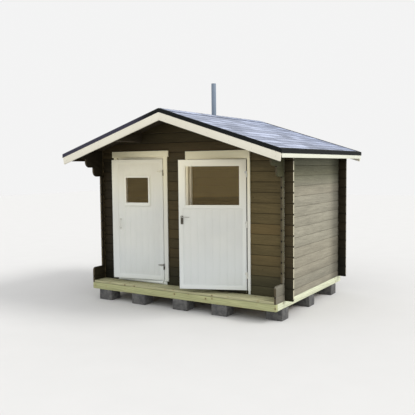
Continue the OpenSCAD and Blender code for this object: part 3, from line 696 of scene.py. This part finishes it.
def wall_finish(name, shade, seed, *darker, end_tone=LOG_END):
    return log_stain(name, "X", BROWN, end_tone, wall_foot, shade, seed, 0.34, darker)


def side_finish(name, tone, seed, *darker):
    return log_stain(name, "Y", tone, SIDE_END_PAINTED_SHADE, wall_foot + COURSE / 2, 1.0, seed, 0.1, darker, 0.3)


# The rear wall darkened overall and further past the corner as painted shade, and darker towards its foot.
rear_stain_painted_shade = wall_finish("rear_stain_painted_shade", 0.62, 4.1, DARK_FOOT, ("X", *CORNER_SHADE_EDGE, grey(0.26)))
stain_and_shade_of = {
    # Front right: darker towards the foot, painted shade on the ends past the corner and under the eave,
    # and painted sunlight on the sawn ends.
    "front_wall_right": wall_finish(
        "front_right_stain_painted_light", 0.98, 1.3, SOFT_DARK_FOOT, ("X", *CORNER_SHADE_EDGE, grey(0.41)),
        ("Z", 1.86, 2.08, grey(0.70)), end_tone=LOG_END_PAINTED_SUN),
    # The middle and left strips and the gable darkened as painted shade, the strips also darker towards
    # the foot, the gable more to the left.
    "front_wall_middle": wall_finish("front_middle_stain_painted_shade", 0.54, 1.9, DARK_FOOT),
    "front_wall_left": wall_finish("front_left_stain_painted_shade", 0.2, 2.2, DARK_FOOT),
    "front_gable": wall_finish("gable_stain_painted_shade", 0.58, 3.4, ("X", 0.4, -0.9, grey(0.63))),
    "rear_wall": rear_stain_painted_shade,
    "rear_gable": rear_stain_painted_shade,
    # The left wall's ends in front of the front wall darkened as painted shade.
    "left_wall": side_finish(
        "left_side_stain_painted_shade", srgb(86, 76, 52), 5.2, ("Y", *BRACKET_SHADE_EDGE, grey(0.20))),
    # The right wall: a paler tone as painted sunlight and sheen; painted shade under the eave, towards the
    # rear corner and on the ends in front of the front wall; and darker towards the foot.
    "right_wall": side_finish(
        "right_side_stain_painted_light", srgb(146, 142, 127), 2.6, ("Z", 1.55, 1.85, (0.51, 0.54, 0.45)),
        ("Y", rear - 0.46, rear - 0.14, grey(0.50)),
        ("Y", *BRACKET_SHADE_EDGE, (0.50, 0.49, 0.39), "Z", 0.5, 0.6),
        ("Y", *BRACKET_SHADE_EDGE, grey(0.68), "Z", 0.6, 0.5), ("Z", 0.9, 0.3, grey(0.86)))}
roof_dark = roof_wood()
# Each gets its painted shadow line at the beam's top.
timber_across = treated_timber("timber_across", "X", srgb(176, 178, 133), 0.4, beam_top)
timber_deck = treated_timber("timber_deck", "X", srgb(176, 174, 138), 4.4, beam_top)
timber_along = treated_timber("timber_along", "Y", srgb(212, 216, 188), 7.9, beam_top)
pine = floor_pine()

# The last colour in each, where given, is the painted warm light high up.
white = paint("white_door_paint", (226, 227, 219), (216, 218, 213), "Z", 1.0, (248, 241, 215))
white_panel = paint("white_panel_paint", (218, 219, 212), (208, 210, 205), "Z", 6.0, (240, 234, 208))
white_rails = paint("white_rail_paint", (236, 237, 228), (226, 228, 220), "X", 2.0, (250, 244, 220))
cream = paint("cream_board_paint", (244, 240, 224), (236, 231, 212), "X", 3.0)
# The fascias' backs get painted brown shade.
fascia_paint = paint("fascia_paint", (228, 230, 214), (220, 221, 204), "Y", 5.0,
                     back=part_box("eave_fascias")[1].x - 5 * MM)
cream_trims = paint("trim_paint", (234, 233, 222), (224, 223, 211), "Z", 4.0, (255, 245, 204))

concrete = cast_concrete()
shingle = mineral_shingle(slopes["right"].exposure)
flashing = black_sheet()
pipe_grey = grey_pipe()
glass = window_glass()

SPANGLE, WEAR_SPOT = 12 * MM, 30 * MM
SLEEVE_START = hinges["left"]["pos_m"][0] - 9 * MM
zinc = steel("zinc_plate", (142, 142, 136), (184, 184, 178), 0.42, SPANGLE)
pale_zinc = steel("pale_zinc", (206, 205, 196), (226, 225, 216), 0.45, SPANGLE, 0.25)
bright_steel = steel("bright_steel", (214, 212, 204), (240, 238, 230), 0.25, 20 * MM)
strap_darker_below = steel("strap_darker_below", (226, 218, 190), (238, 230, 202), 0.5, SPANGLE, 0.1,
                   low_tone=(142, 143, 137), sleeve=SLEEVE_START)
zinc_darker_below = steel("zinc_darker_below", (160, 150, 122), (182, 172, 144), 0.5, SPANGLE, 0.1, (66, 62, 54))
lever_grey = steel("lever_grey", (150, 149, 143), (186, 185, 178), 0.4, SPANGLE, 0.5)
worn_steel = steel("worn_steel", (64, 61, 54), (104, 100, 92), 0.42, WEAR_SPOT)


# ---------------- base

BLOCK_CORNER, BLOCK_CUTS = 6 * MM, 3
BLOCK_PLAN = 0.985  # the share of its plan that a block keeps, so that it stays inside
BLOCK_STRAY = 0.9  # how far the cast faces stray from flat, in millimetres
BLOCK_SMOOTH_TO = 40  # degrees


def block_plans():
    """Each packed block's span across and along, once."""
    mesh = nodes["foundation_blocks"].data
    plans = []
    for face in mesh.polygons:
        corners = [mesh.vertices[i].co for i in face.vertices]
        plan = [(min(c[k] for c in corners), max(c[k] for c in corners)) for k in (0, 1)]
        if face.normal.z > LOOKS_UP and plan not in plans:
            plans.append(plan)
    return plans


def foundation():
    """Rough cast blocks, their corners knocked round."""
    low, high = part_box("foundation_blocks")
    shrink = Matrix.LocRotScale(None, None, Vector((BLOCK_PLAN, BLOCK_PLAN, 1)))
    blocks = []
    for (x0, x1), (y0, y1) in block_plans():
        piece = block("cast_block", (x0, y0, low.z), (x1, y1, high.z))
        edit(piece)
        bpy.ops.mesh.select_all(action="SELECT")
        bpy.ops.mesh.bevel(offset=BLOCK_CORNER, segments=2, affect="EDGES")
        bpy.ops.mesh.subdivide(number_cuts=BLOCK_CUTS)
        leave_edit()
        middle = Vector(((x0 + x1) / 2, (y0 + y1) / 2, 0))
        piece.data.transform(Matrix.Translation(middle) @ shrink @ Matrix.Translation(-middle))
        for vertex in piece.data.vertices:
            if low.z + MM < vertex.co.z < high.z - MM:
                stray = Vector((chance.uniform(-1, 1), chance.uniform(-1, 1), 0))
                vertex.co += stray * BLOCK_STRAY * MM
        pick(piece)
        bpy.ops.object.shade_smooth_by_angle(angle=radians(BLOCK_SMOOTH_TO))
        blocks.append(piece)
    fit(join("cast_blocks", blocks), concrete, "concrete", "shed", "foundation_blocks")


DECK_COUNT, DECK_GAP, DECK_EDGE = 3, 8 * MM, 3 * MM


def deck():
    """Deck boards with eased edges."""
    low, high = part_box("deck_boards")
    width = (high.y - low.y - (DECK_COUNT - 1) * DECK_GAP) / DECK_COUNT
    boards = []
    for i in range(DECK_COUNT):
        y = low.y + i * (width + DECK_GAP)
        board = block("deck_board", (low.x, y, low.z), (high.x, y + width, high.z))
        boards.append(round_edges(board, DECK_EDGE, 3))
    fit(join("deck_planks", boards), timber_deck, "treated_timber", "shed", "deck_boards")


FLOOR_BOARD, FLOOR_EDGE = 0.12, 1.5 * MM


def floor():
    """Tongued floor boards from front to back, with a fine V between them."""
    low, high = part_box("floor_boards")
    count = round((high.x - low.x) / FLOOR_BOARD)
    width = (high.x - low.x) / count
    model = round_edges(block("floor_board", (0, low.y, low.z), (width, high.y, high.z)), FLOOR_EDGE)
    places = [Matrix.Translation((low.x + i * width, 0, 0)) for i in range(count)]
    fit(copies("floor_planks", model, places), pine, "floor_pine", "shed", "floor_boards")


# ---------------- roof

SHEET = 3 * MM  # the thickness of sheet and of the folded cap pieces
PIPE_CLEAR = 1 * MM


def pipe_rod(name, clear, sides):
    """A rod in the vent pipe's place, wider all round by clear."""
    low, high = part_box("vent_pipe")
    x, y = ((low + high) / 2).xy
    return rod(name, (x, y, low.z), (high.x - low.x) / 2 + clear, high.z - low.z, sides)


def pipe_hole(piece):
    """Cuts the vent pipe's hole through a piece that lies in its way."""
    low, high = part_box("vent_pipe")
    for k in (0, 1):
        spots = [vertex.co[k] for vertex in piece.data.vertices]
        if min(spots) >= high[k] + PIPE_CLEAR or max(spots) <= low[k] - PIPE_CLEAR:
            return piece
    cutter = pipe_rod("cutter", PIPE_CLEAR, sides=40)
    apply_modifier(piece, "BOOLEAN", operation="DIFFERENCE", object=cutter, solver="EXACT")
    bpy.data.objects.remove(cutter)
    return piece


TAB_W, TAB_T, TAB_WEAR = 1 / 3, 3.3 * MM, 1.2 * MM
SLOT = 6 * MM  # between two tabs of a course
LAP_SHORT = 4 * MM  # how far a tab stops short of two whole exposures
EAVE_BACK = 5 * MM  # how far the lowest butts stand back from the slope's end
UNDERLAY = 0.2 * MM
LEAST_TAB = 20 * MM  # nothing shorter or narrower is laid
LIFT = (-0.1, 0.25)  # how unevenly the tabs lie, as a share of their lean


def shingle_tab(length):
    """One tab, lying from its upper end at 0 to its butt at length, its edges worn round."""
    half = TAB_W / 2 - SLOT / 2
    tab = block("tab", (0, -half, 0), (length, half, TAB_T))
    select_facing(tab, RIGHT)
    bpy.ops.mesh.bevel(offset=TAB_WEAR, segments=1, affect="EDGES")
    leave_edit()
    return tab


def course_of_tabs(slope, course):
    """Where each tab of one course lies: its top, its butt, and its near and far sides."""
    butt = slope.reach - EAVE_BACK - course * slope.exposure
    top = max(butt - 2 * slope.exposure + LAP_SHORT, 0)
    start = slope.front - (course % 2) * TAB_W / 2
    for i in range(ceil((slope.rear - start) / TAB_W) + 1):
        near = max(start + i * TAB_W + SLOT / 2, slope.front)
        far = min(start + (i + 1) * TAB_W - SLOT / 2, slope.rear)
        if butt - top >= LEAST_TAB and far - near >= LEAST_TAB:
            yield top, butt, near, far


def shingle_courses(side):
    """Courses of tabs from the eave up, each laid half a tab aside over the last."""
    slope = slopes[side]
    length = 2 * slope.exposure - LAP_SHORT
    lean = TAB_T / (2 * slope.exposure)
    model = shingle_tab(length)
    tabs = []
    for course in range(COURSES_UP + 1):
        for top, butt, near, far in course_of_tabs(slope, course):
            size = Matrix.Diagonal(((butt - top) / length, (far - near) / (TAB_W - SLOT), 1, 1))
            tab = copy_at(model, size, chance.random())
            tab.data.transform(Matrix.Rotation(-lean + chance.uniform(*LIFT) * lean, 4, "Y"))
            tab.data.transform(slope.place(top, (near + far) / 2, slope.board_height + UNDERLAY))
            tabs.append(pipe_hole(tab) if side == "left" else tab)
    bpy.data.objects.remove(model)
    piece = join("shingle_tabs_" + side, tabs)
    fit(piece, shingle, "asphalt_shingle", "shed", "shingles_" + side)


CAP_COUNT, CAP_LAP, CAP_EDGE = 20, 1.45, 0.8 * MM
CAP_CLEAR = 3.4 * MM  # above the shingles' ridge line
CAP_PLANED_FROM = 50  # degrees


def ridge_caps():
    """Folded cap pieces over the ridge, each lapping the next."""
    low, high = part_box("ridge_cap")
    slope = slopes["right"]
    step = (high.y - low.y) / CAP_COUNT
    length = step * CAP_LAP
    deselect()
    bpy.ops.mesh.primitive_grid_add(x_subdivisions=4, y_subdivisions=2, size=2)
    model = bpy.context.active_object
    for vertex in model.data.vertices:
        across = vertex.co.x * high.x / cos(pitch)
        vertex.co = Vector((across * cos(pitch), (vertex.co.y + 1) / 2 * length,
                            -abs(across) * sin(pitch)))
    apply_modifier(model, "SOLIDIFY", thickness=SHEET, offset=1.0)
    round_edges(model, CAP_EDGE, 1, CAP_PLANED_FROM)
    top = slope.ridge.z + slope.top_height / cos(pitch) + CAP_CLEAR
    lift = Matrix.Rotation(-SHEET / length, 4, "X")
    places = []
    for y in (low.y + i * step for i in range(CAP_COUNT)):
        size = Matrix.Diagonal((1, min(length, high.y - y) / length, 1, 1))
        places.append(Matrix.Translation((0, y, top)) @ lift @ size)
    piece = copies("ridge_cap_pieces", model, places)
    fit(piece, shingle, "asphalt_shingle", "shed", "ridge_cap")


ROOF_BOARD, ROOF_BOARD_EDGE = 0.0957, 2.2 * MM


def roof_boards(side):
    """Boards from the ridge down to the eave, with a V between neighbours."""
    slope = slopes[side]
    low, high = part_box("roof_boards_" + side)
    count = round((high.y - low.y) / ROOF_BOARD)
    width = (high.y - low.y) / count
    model = block("roof_board", (0, -width / 2, 0), (slope.board_reach, width / 2, slope.board_height))
    round_edges(model, ROOF_BOARD_EDGE, 1)
    places = [slope.place(0, low.y + (i + 0.5) * width, 0) for i in range(count)]
    piece = copies("roof_planks_" + side, model, places, cut=side == "left")
    fit(piece, roof_dark, "roof_timber", "shed", "roof_boards_" + side)


def vent():
    """A round sheet pipe with rounded rims, and the sheet boot round its foot."""
    pipe = pipe_rod("vent_tube", clear=0, sides=64)
    select_facing(pipe, UP, -UP)
    bpy.ops.mesh.delete(type="FACE")
    leave_edit()
    apply_modifier(pipe, "SOLIDIFY", thickness=SHEET, offset=-1.0)
    round_edges(pipe, 1 * MM, angle=60)
    fit(pipe, pipe_grey, "grey_pipe", "shed", "vent_pipe")
    finish_node("vent_boot", pipe_grey)


# ---------------- screws and nails

DECK_SCREW, NAIL = (3.6 * MM, 1.2 * MM), (3.0 * MM, 0.6 * MM)  # a head's radius and thickness
HANDLE_SCREW, HINGE_SCREW = (3.2 * MM, 1.0 * MM), (2.8 * MM, 0.9 * MM)
HEAD_SIDES = 12
HEAD_RIM, HEAD_RECESS = 0.22, 0.4  # insets, as shares of the head's radius
HEAD_CROWN, HEAD_DEPTH = 0.25, 0.6  # rise and recess, as shares of its thickness


def screw_head(radius, thick):
    """A low screw head, standing at z = 0, with an eased rim and a recess."""
    head = rod("screw_head", (0, 0, 0), radius, thick, HEAD_SIDES)
    select_facing(head, UP)
    for inset, rise in ((HEAD_RIM, HEAD_CROWN), (HEAD_RECESS, -HEAD_DEPTH)):
        bpy.ops.mesh.inset(thickness=radius * inset, depth=0)
        bpy.ops.transform.translate(value=(0, 0, thick * rise))
    leave_edit()
    return head


def facing_out(spot, out):
    """The matrix that sets a screw head down at a spot, looking out along a direction."""
    turn = Vector(out).to_track_quat("Z", "Y").to_matrix().to_4x4()
    return Matrix.Translation(spot) @ turn


def set_screws(name, places, size, body="shed", slot="zinc_steel"):
    model = screw_head(*size)
    heads = [copy_at(model, facing_out(spot, out)) for spot, out in places]
    bpy.data.objects.remove(model)
    fit(join(name, heads), zinc, slot, body)


def spread(start, end, margin, count):
    """Evenly spaced places between two ends, with a margin at each."""
    step = (end - start - 2 * margin) / (count - 1)
    return [start + margin + i * step for i in range(count)]


BEARERS, BEARER_IN, SCREW_SUNK = 7, 45 * MM, 0.5 * MM


def deck_screws():
    """Two screws through each deck board at every bearer."""
    low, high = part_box("deck_boards")
    width = (high.y - low.y) / DECK_COUNT
    places = [((x, low.y + (board + share) * width, high.z - SCREW_SUNK), UP)
              for x in spread(low.x, high.x, BEARER_IN, BEARERS)
              for board in range(DECK_COUNT) for share in (0.25, 0.75)]
    set_screws("deck_screws", places, DECK_SCREW)


BARGE_NAILS, BARGE_FIRST, BARGE_LAST = 6, 0.12, 0.08  # pairs a board, and their end margins
BARGE_DROP, BARGE_PAIR = 75 * MM, 25 * MM  # below the board's peak, and half a pair
FASCIA_NAILS, FASCIA_MARGIN = 7, 80 * MM


def barge_nails():
    for node, way in (("front_bargeboards", -1), ("rear_bargeboards", 1)):
        low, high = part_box(node)
        peak = Vector((0, low.y if way < 0 else high.y, high.z - BARGE_DROP))
        step = (high.x / cos(pitch) - BARGE_FIRST - BARGE_LAST) / (BARGE_NAILS - 1)
        for slope in slopes.values():
            for i in range(BARGE_NAILS):
                foot = peak + slope.down * (BARGE_FIRST + i * step)
                for rise in (-BARGE_PAIR, BARGE_PAIR):
                    yield foot + UP * rise, (0, way, 0)


def fascia_nails():
    low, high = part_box("eave_fascias")
    for x, way in ((low.x, -1), (high.x, 1)):
        for y in spread(low.y, high.y, FASCIA_MARGIN, FASCIA_NAILS):
            for share in (0.3, 0.7):
                yield (x, y, low.z + (high.z - low.z) * share), (way, 0, 0)


def board_nails():
    """Pairs of nails through the bargeboards and the fascias."""
    set_screws("board_nails", [*barge_nails(), *fascia_nails()], NAIL)


# ---------------- door furniture

def leaf_turn(door):
    """How a leaf stands at rest, turned about its hinge from its closed place."""
    pin = Vector(hinges[door]["pos_m"])
    turn = Matrix.Rotation(-radians(hinges[door]["range_deg"][0]), 4, "Z")
    return Matrix.Translation(pin) @ turn @ Matrix.Translation(-pin)


def closed_corners(node, turn, nearer=None):
    """A leaf node's lowest and highest corners with its door closed, or its nearer part's."""
    back = turn.inverted()
    points = [back @ vertex.co for vertex in nodes[node].data.vertices]
    if nearer is not None:
        points = [point for point in points if point.y < nearer]
    return [Vector([pick_one(point[k] for point in points) for k in range(3)])
            for pick_one in (min, max)]


def turned(piece, turn):
    piece.data.transform(turn)
    return piece


PLATE_W, PLATE_T, PLATE_EDGE = 34 * MM, 4 * MM, 1.4 * MM
NECK_R, NECK_LENGTH = 8.5 * MM, 9 * MM
SHANK_R, SHANK_SHORT = 6 * MM, 2 * MM
LEVER_R, LEVER_DROP, LEVER_SIDES = 6.5 * MM, 15 * MM, 28
TIP_SIZE, TIP_STRAY = (1, 0.62, 0.78), 1.5 * MM  # the lever's tip: its share of the bar, and its shift
UPPER_SCREW, LOWER_SCREW = 24 * MM, 9 * MM  # below the lever, and above the plate's foot
KEYHOLE_RISE, KEYHOLE_R, KEYHOLE_SINK, KEYHOLE_T = 38 * MM, 4 * MM, 0.4 * MM, 0.9 * MM
SLIT_HALF, SLIT_LENGTH, SLIT_PROUD = 1.8 * MM, 12 * MM, 0.5 * MM


def keyhole(x, face, z, way, turn):
    """The keyhole: a round top over a slit, black pieces a hair proud of the plate, as painted shade of
    the hollow.
    """
    hole = rod("keyhole", (x, face - way * KEYHOLE_SINK, z), KEYHOLE_R, KEYHOLE_T, sides=24, turn=turn)
    proud = face + way * SLIT_PROUD
    slit = block("keyhole_slit", (x - SLIT_HALF, face, z - SLIT_LENGTH), (x + SLIT_HALF, proud, z))
    return [round_edges(piece, 0.2 * MM, 1) for piece in (hole, slit)]


def lever(x, tip, z, way, end):
    """A round lever from the plate's middle to its end, flattened and drooping at its tip."""
    bar = rod("lever", (x - LEVER_R, tip - way * LEVER_R, z), LEVER_R, end - x + LEVER_R,
              LEVER_SIDES, (0, radians(90), 0))
    select_facing(bar, RIGHT)
    bpy.ops.transform.resize(value=TIP_SIZE)
    bpy.ops.transform.translate(value=(0, way * TIP_STRAY, -TIP_STRAY))
    leave_edit()
    return round_edges(bar, 2.4 * MM, 3)


def lever_handle():
    """On each side of the right leaf: a long plate with screws, a keyhole, a neck and a lever."""
    turn = leaf_turn("right")
    leaf_low, leaf_high = closed_corners("right_leaf_frame", turn)
    low, high = closed_corners("right_leaf_handle", turn, leaf_low.y)
    plates, levers, necks, holes, places = [], [], [], [], []
    x = low.x + PLATE_W / 2
    z = high.z - LEVER_DROP
    for way, face in ((-1, leaf_low.y), (1, leaf_high.y)):
        outward = (radians(-90 * way), 0, 0)
        plate_face = face + way * PLATE_T
        plate = block("backplate", (low.x, face, low.z), (low.x + PLATE_W, plate_face, high.z))
        plates.append(round_edges(plate, PLATE_EDGE, 3))
        tip = face + way * (leaf_low.y - low.y)
        neck = rod("neck", (x, plate_face, z), NECK_R, NECK_LENGTH, sides=32, turn=outward)
        necks.append(round_edges(neck, 2 * MM, 3))
        shank = rod("shank", (x, plate_face, z), SHANK_R, abs(tip - plate_face) - SHANK_SHORT,
                    LEVER_SIDES, outward)
        levers += [round_edges(shank, 1 * MM), lever(x, tip, z, way, high.x)]
        holes += keyhole(x, plate_face, low.z + KEYHOLE_RISE, way, outward)
        places += [(turn @ Vector((x, plate_face, height)), turn.to_3x3() @ Vector((0, way, 0)))
                   for height in (low.z + LOWER_SCREW, z - UPPER_SCREW)]
    for name, pieces, finish in (
            ("handle_backplates", plates, worn_steel), ("handle_levers", levers, lever_grey),
            ("handle_necks", necks, bright_steel), ("keyholes", holes, flashing)):
        fit(turned(join(name, pieces), turn), finish, "dull_steel", "right_door", "right_leaf_handle")
    set_screws("handle_screws", places, HANDLE_SCREW, "right_door", "dull_steel")


STRAIGHT_OUT = 0.99  # the least share at which a strap's face looks out of the leaf
TWO_SCREWS = ((0, 1), (0, -1))  # along the strap, and in half gaps above its middle
THREE_SCREWS = (*TWO_SCREWS, (16 * MM, 0))


def strap_levels(door, back):
    """How far forward a leaf's hinge straps lie, and the height of each strap's middle."""
    faces = nodes[door + "_leaf_hinges"].data.polygons
    middles = [back @ face.center for face in faces
               if (back.to_3x3() @ face.normal).y < -STRAIGHT_OUT]
    levels = []
    for level in sorted({round(middle.z, 1) for middle in middles}):
        heights = [middle.z for middle in middles if round(middle.z, 1) == level]
        levels.append((min(heights) + max(heights)) / 2)
    return max(middle.y for middle in middles), levels


def hinge_screws(door, places_on_strap, inset, half_gap):
    """Screws through each hinge strap on a leaf, found from the strap's own upright faces."""
    turn = leaf_turn(door)
    face, levels = strap_levels(door, turn.inverted())
    start = closed_corners(door + "_leaf_hinges", turn)[0].x + inset
    out = turn.to_3x3() @ Vector((0, -1, 0))
    places = [(turn @ Vector((start + along, face, level + rise * half_gap)), out)
              for level in levels for along, rise in places_on_strap]
    set_screws(door + "_hinge_screws", places, HINGE_SCREW, door + "_door")


TIP_REACH, TIP_LAP, TIP_T = 44 * MM, 4 * MM, 2.4 * MM
TIP_HALF, TIP_END_HALF = 12 * MM, 4 * MM
SLEEVE_LENGTH = 40 * MM


def strap_tips():
    """The tapered outer ends of the left leaf's hinge straps."""
    turn = leaf_turn("left")
    face = closed_corners("left_leaf_frame", turn)[0].y
    low, high = closed_corners("left_leaf_hinges", turn)
    tips = []
    for middle in (low.z + SLEEVE_LENGTH / 2, high.z - SLEEVE_LENGTH / 2):
        plate = block("strap_tip", (low.x - TIP_REACH, face - TIP_T, middle - TIP_HALF),
                      (low.x + TIP_LAP, face, middle + TIP_HALF))
        select_facing(plate, -RIGHT)
        bpy.ops.transform.resize(value=(1, 1, TIP_END_HALF / TIP_HALF))
        leave_edit()
        tips.append(round_edges(plate, 0.6 * MM))
    fit(turned(join("left_strap_tips", tips), turn), strap_darker_below, "zinc_steel", "left_door")


# The painted shade strip in the right door's hinge gap, placed from the casing and the leaf.
GAP_SHADE_FAR, GAP_SHADE_NEAR = 6.5 * MM, 0.5 * MM  # from the casing trim's edge
GAP_SHADE_FRONT, GAP_SHADE_BACK = 4 * MM, 6 * MM  # behind the leaf's two faces
GAP_SHADE_FOOT, GAP_SHADE_HEAD = 12 * MM, 6 * MM


def gap_shade_strip():
    """A dark strip in the gap behind the right leaf's hinges: painted shade in the gap."""
    leaf_low, leaf_high = closed_corners("right_leaf_frame", leaf_turn("right"))
    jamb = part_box("right_door_casing")[1].x
    edge = min(vertex.co.x for vertex in nodes["right_door_casing"].data.vertices
               if leaf_high.x < vertex.co.x < jamb - MM)
    low = (edge - GAP_SHADE_FAR, leaf_low.y + GAP_SHADE_FRONT, leaf_low.z + GAP_SHADE_FOOT)
    high = (edge - GAP_SHADE_NEAR, leaf_high.y - GAP_SHADE_BACK, leaf_high.z - GAP_SHADE_HEAD)
    shade_strip = round_edges(block("right_door_seal", low, high), 1.5 * MM, 3)
    fit(shade_strip, flashing, "black_flashing", "shed")


# ---------------- put together

BEAM_EDGE, LOG_EDGE, RIDGE_EDGE, BARGE_EDGE, SHEET_EDGE = 2.5 * MM, 1.3 * MM, 2 * MM, 1.6 * MM, 0.8 * MM


def build_base():
    foundation()
    deck()
    floor()
    for node in ("front_beam", "rear_sill", "floor_joists"):
        dress(node, timber_across, BEAM_EDGE)
    dress("side_sills", timber_along, BEAM_EDGE)


def build_walls():
    for node, stain in stain_and_shade_of.items():
        dress(node, stain, LOG_EDGE)


def build_roof():
    for node in ("ridge_beam", "purlins"):
        dress(node, roof_dark, RIDGE_EDGE)
    for side in slopes:
        roof_boards(side)
        shingle_courses(side)
    ridge_caps()
    vent()
    for node in ("front_bargeboards", "rear_bargeboards"):
        dress(node, cream, BARGE_EDGE)
    dress("eave_fascias", fascia_paint, BARGE_EDGE)
    for node in ("front_verge_flashing", "rear_verge_flashing", "eave_flashings"):
        dress(node, flashing, SHEET_EDGE, 1)


def build_door(door, panel, threshold, pins, straps):
    for part, finish, edge, steps in (
            ("door_frame", white, 1.5, 2), ("door_casing", cream_trims, 1.8, 2),
            ("door_threshold", threshold, 2, 2), ("leaf_frame", white, 2, 3),
            ("leaf_panel", panel, 1.2, 2), ("leaf_bead", white_rails, 1.5, 2)):
        dress(f"{door}_{part}", finish, edge * MM, steps)
    for part, finish in (("leaf_glass", glass), ("door_hinge_pins", pins), ("leaf_hinges", straps)):
        finish_node(f"{door}_{part}", finish)


def build_fittings():
    dress("left_leaf_pull", pale_zinc, 0.6 * MM)
    lever_handle()
    strap_tips()
    gap_shade_strip()
    hinge_screws("left", THREE_SCREWS, inset=9 * MM, half_gap=12 * MM)
    hinge_screws("right", TWO_SCREWS, inset=7 * MM, half_gap=11 * MM)
    deck_screws()
    board_nails()


build_base()
build_walls()
build_roof()
build_door("left", white, white_rails, zinc_darker_below, strap_darker_below)
# The right door's threshold takes the middle wall's stain, with its painted shade.
build_door("right", white_panel, stain_and_shade_of["front_wall_middle"], pale_zinc, pale_zinc)
build_fittings()


# ---------------- light, floor and camera

SKY_LIGHT = 0.86
SEEN_SKY = grey(0.9)
LAMP_TINT = (1.0, 0.985, 0.95)
LAMPS = (("key_light", (0.80, 0.25, 0.75), 1.6, 20), ("front_light", (0.5, -0.6, 0.62), 0.6, 120),
         ("side_light", (0.8, -0.45, 0.4), 0.3, 120))
FLOOR_SIZE = 60
FLOOR_LIT, FLOOR_SEEN = grey(0.45), grey(0.66)


def backdrop(world):
    """A plain sky to light the shed, seen as a pale backdrop."""
    world.use_nodes = True
    sky = Nodes(world.node_tree)
    light = sky.tree.nodes["Background"]
    sky.fill(light.inputs["Color"], grey(1.0))
    sky.fill(light.inputs["Strength"], SKY_LIGHT)
    lit = Level(sky, light.outputs[0])
    pale = sky.node("Background", None, {"Color": SEEN_SKY})
    choice = sky.node("MixShader", None, {0: sky.seen(), 1: lit, 2: pale})
    sky.fill(sky.tree.nodes["World Output"].inputs["Surface"], choice)


def lamp(name, toward, strength, breadth):
    """A far, soft lamp in a direction; breadth is how many degrees of sky it fills."""
    sun = bpy.data.lights.new(name, "SUN")
    sun.energy = strength
    sun.angle = radians(breadth)
    sun.color = LAMP_TINT
    stand = bpy.data.objects.new(name, sun)
    stand.rotation_euler = Vector(toward).to_track_quat("Z", "Y").to_euler()
    bpy.context.scene.collection.objects.link(stand)


def studio():
    scene = bpy.context.scene
    scene.view_settings.view_transform = "Standard"
    scene.world = bpy.data.worlds.new("studio")
    backdrop(scene.world)
    for settings in LAMPS:
        lamp(*settings)


def studio_floor():
    deselect()
    bpy.ops.mesh.primitive_plane_add(size=FLOOR_SIZE, location=(0, 0, cad_low.z))
    ground = settle(bpy.context.active_object)
    ground.name = "studio_floor"
    pale = Finish("pale_floor")
    colour = pale.mix(FLOOR_LIT, FLOOR_SEEN, pale.seen())
    pale.surface(pale.brighten(colour, 0.98 + pale.noise(0.4, 3, 0.5) * 0.04), 0.95, gloss=0.0)
    coat(ground, pale)


EYE = (4.5704, -7.6036, 1.9348)
HEADING, LOOKS_DOWN, ROLL = 32.013, 3.980, -0.600  # degrees
LENS, SENSOR, SIGHT = 51.41, 36, 100  # the first two in millimetres


def camera():
    data = bpy.data.cameras.new("camera")
    data.lens = LENS
    data.sensor_width = SENSOR
    data.clip_end = SIGHT
    eye = bpy.data.objects.new("camera", data)
    eye.location = EYE
    turn = Matrix.Rotation(radians(HEADING), 4, "Z")
    tip = Matrix.Rotation(radians(90 - LOOKS_DOWN), 4, "X")
    roll = Matrix.Rotation(radians(ROLL), 4, "Z")
    eye.rotation_euler = (turn @ tip @ roll).to_euler()
    bpy.context.scene.collection.objects.link(eye)
    bpy.context.scene.camera = eye


studio()
studio_floor()
camera()
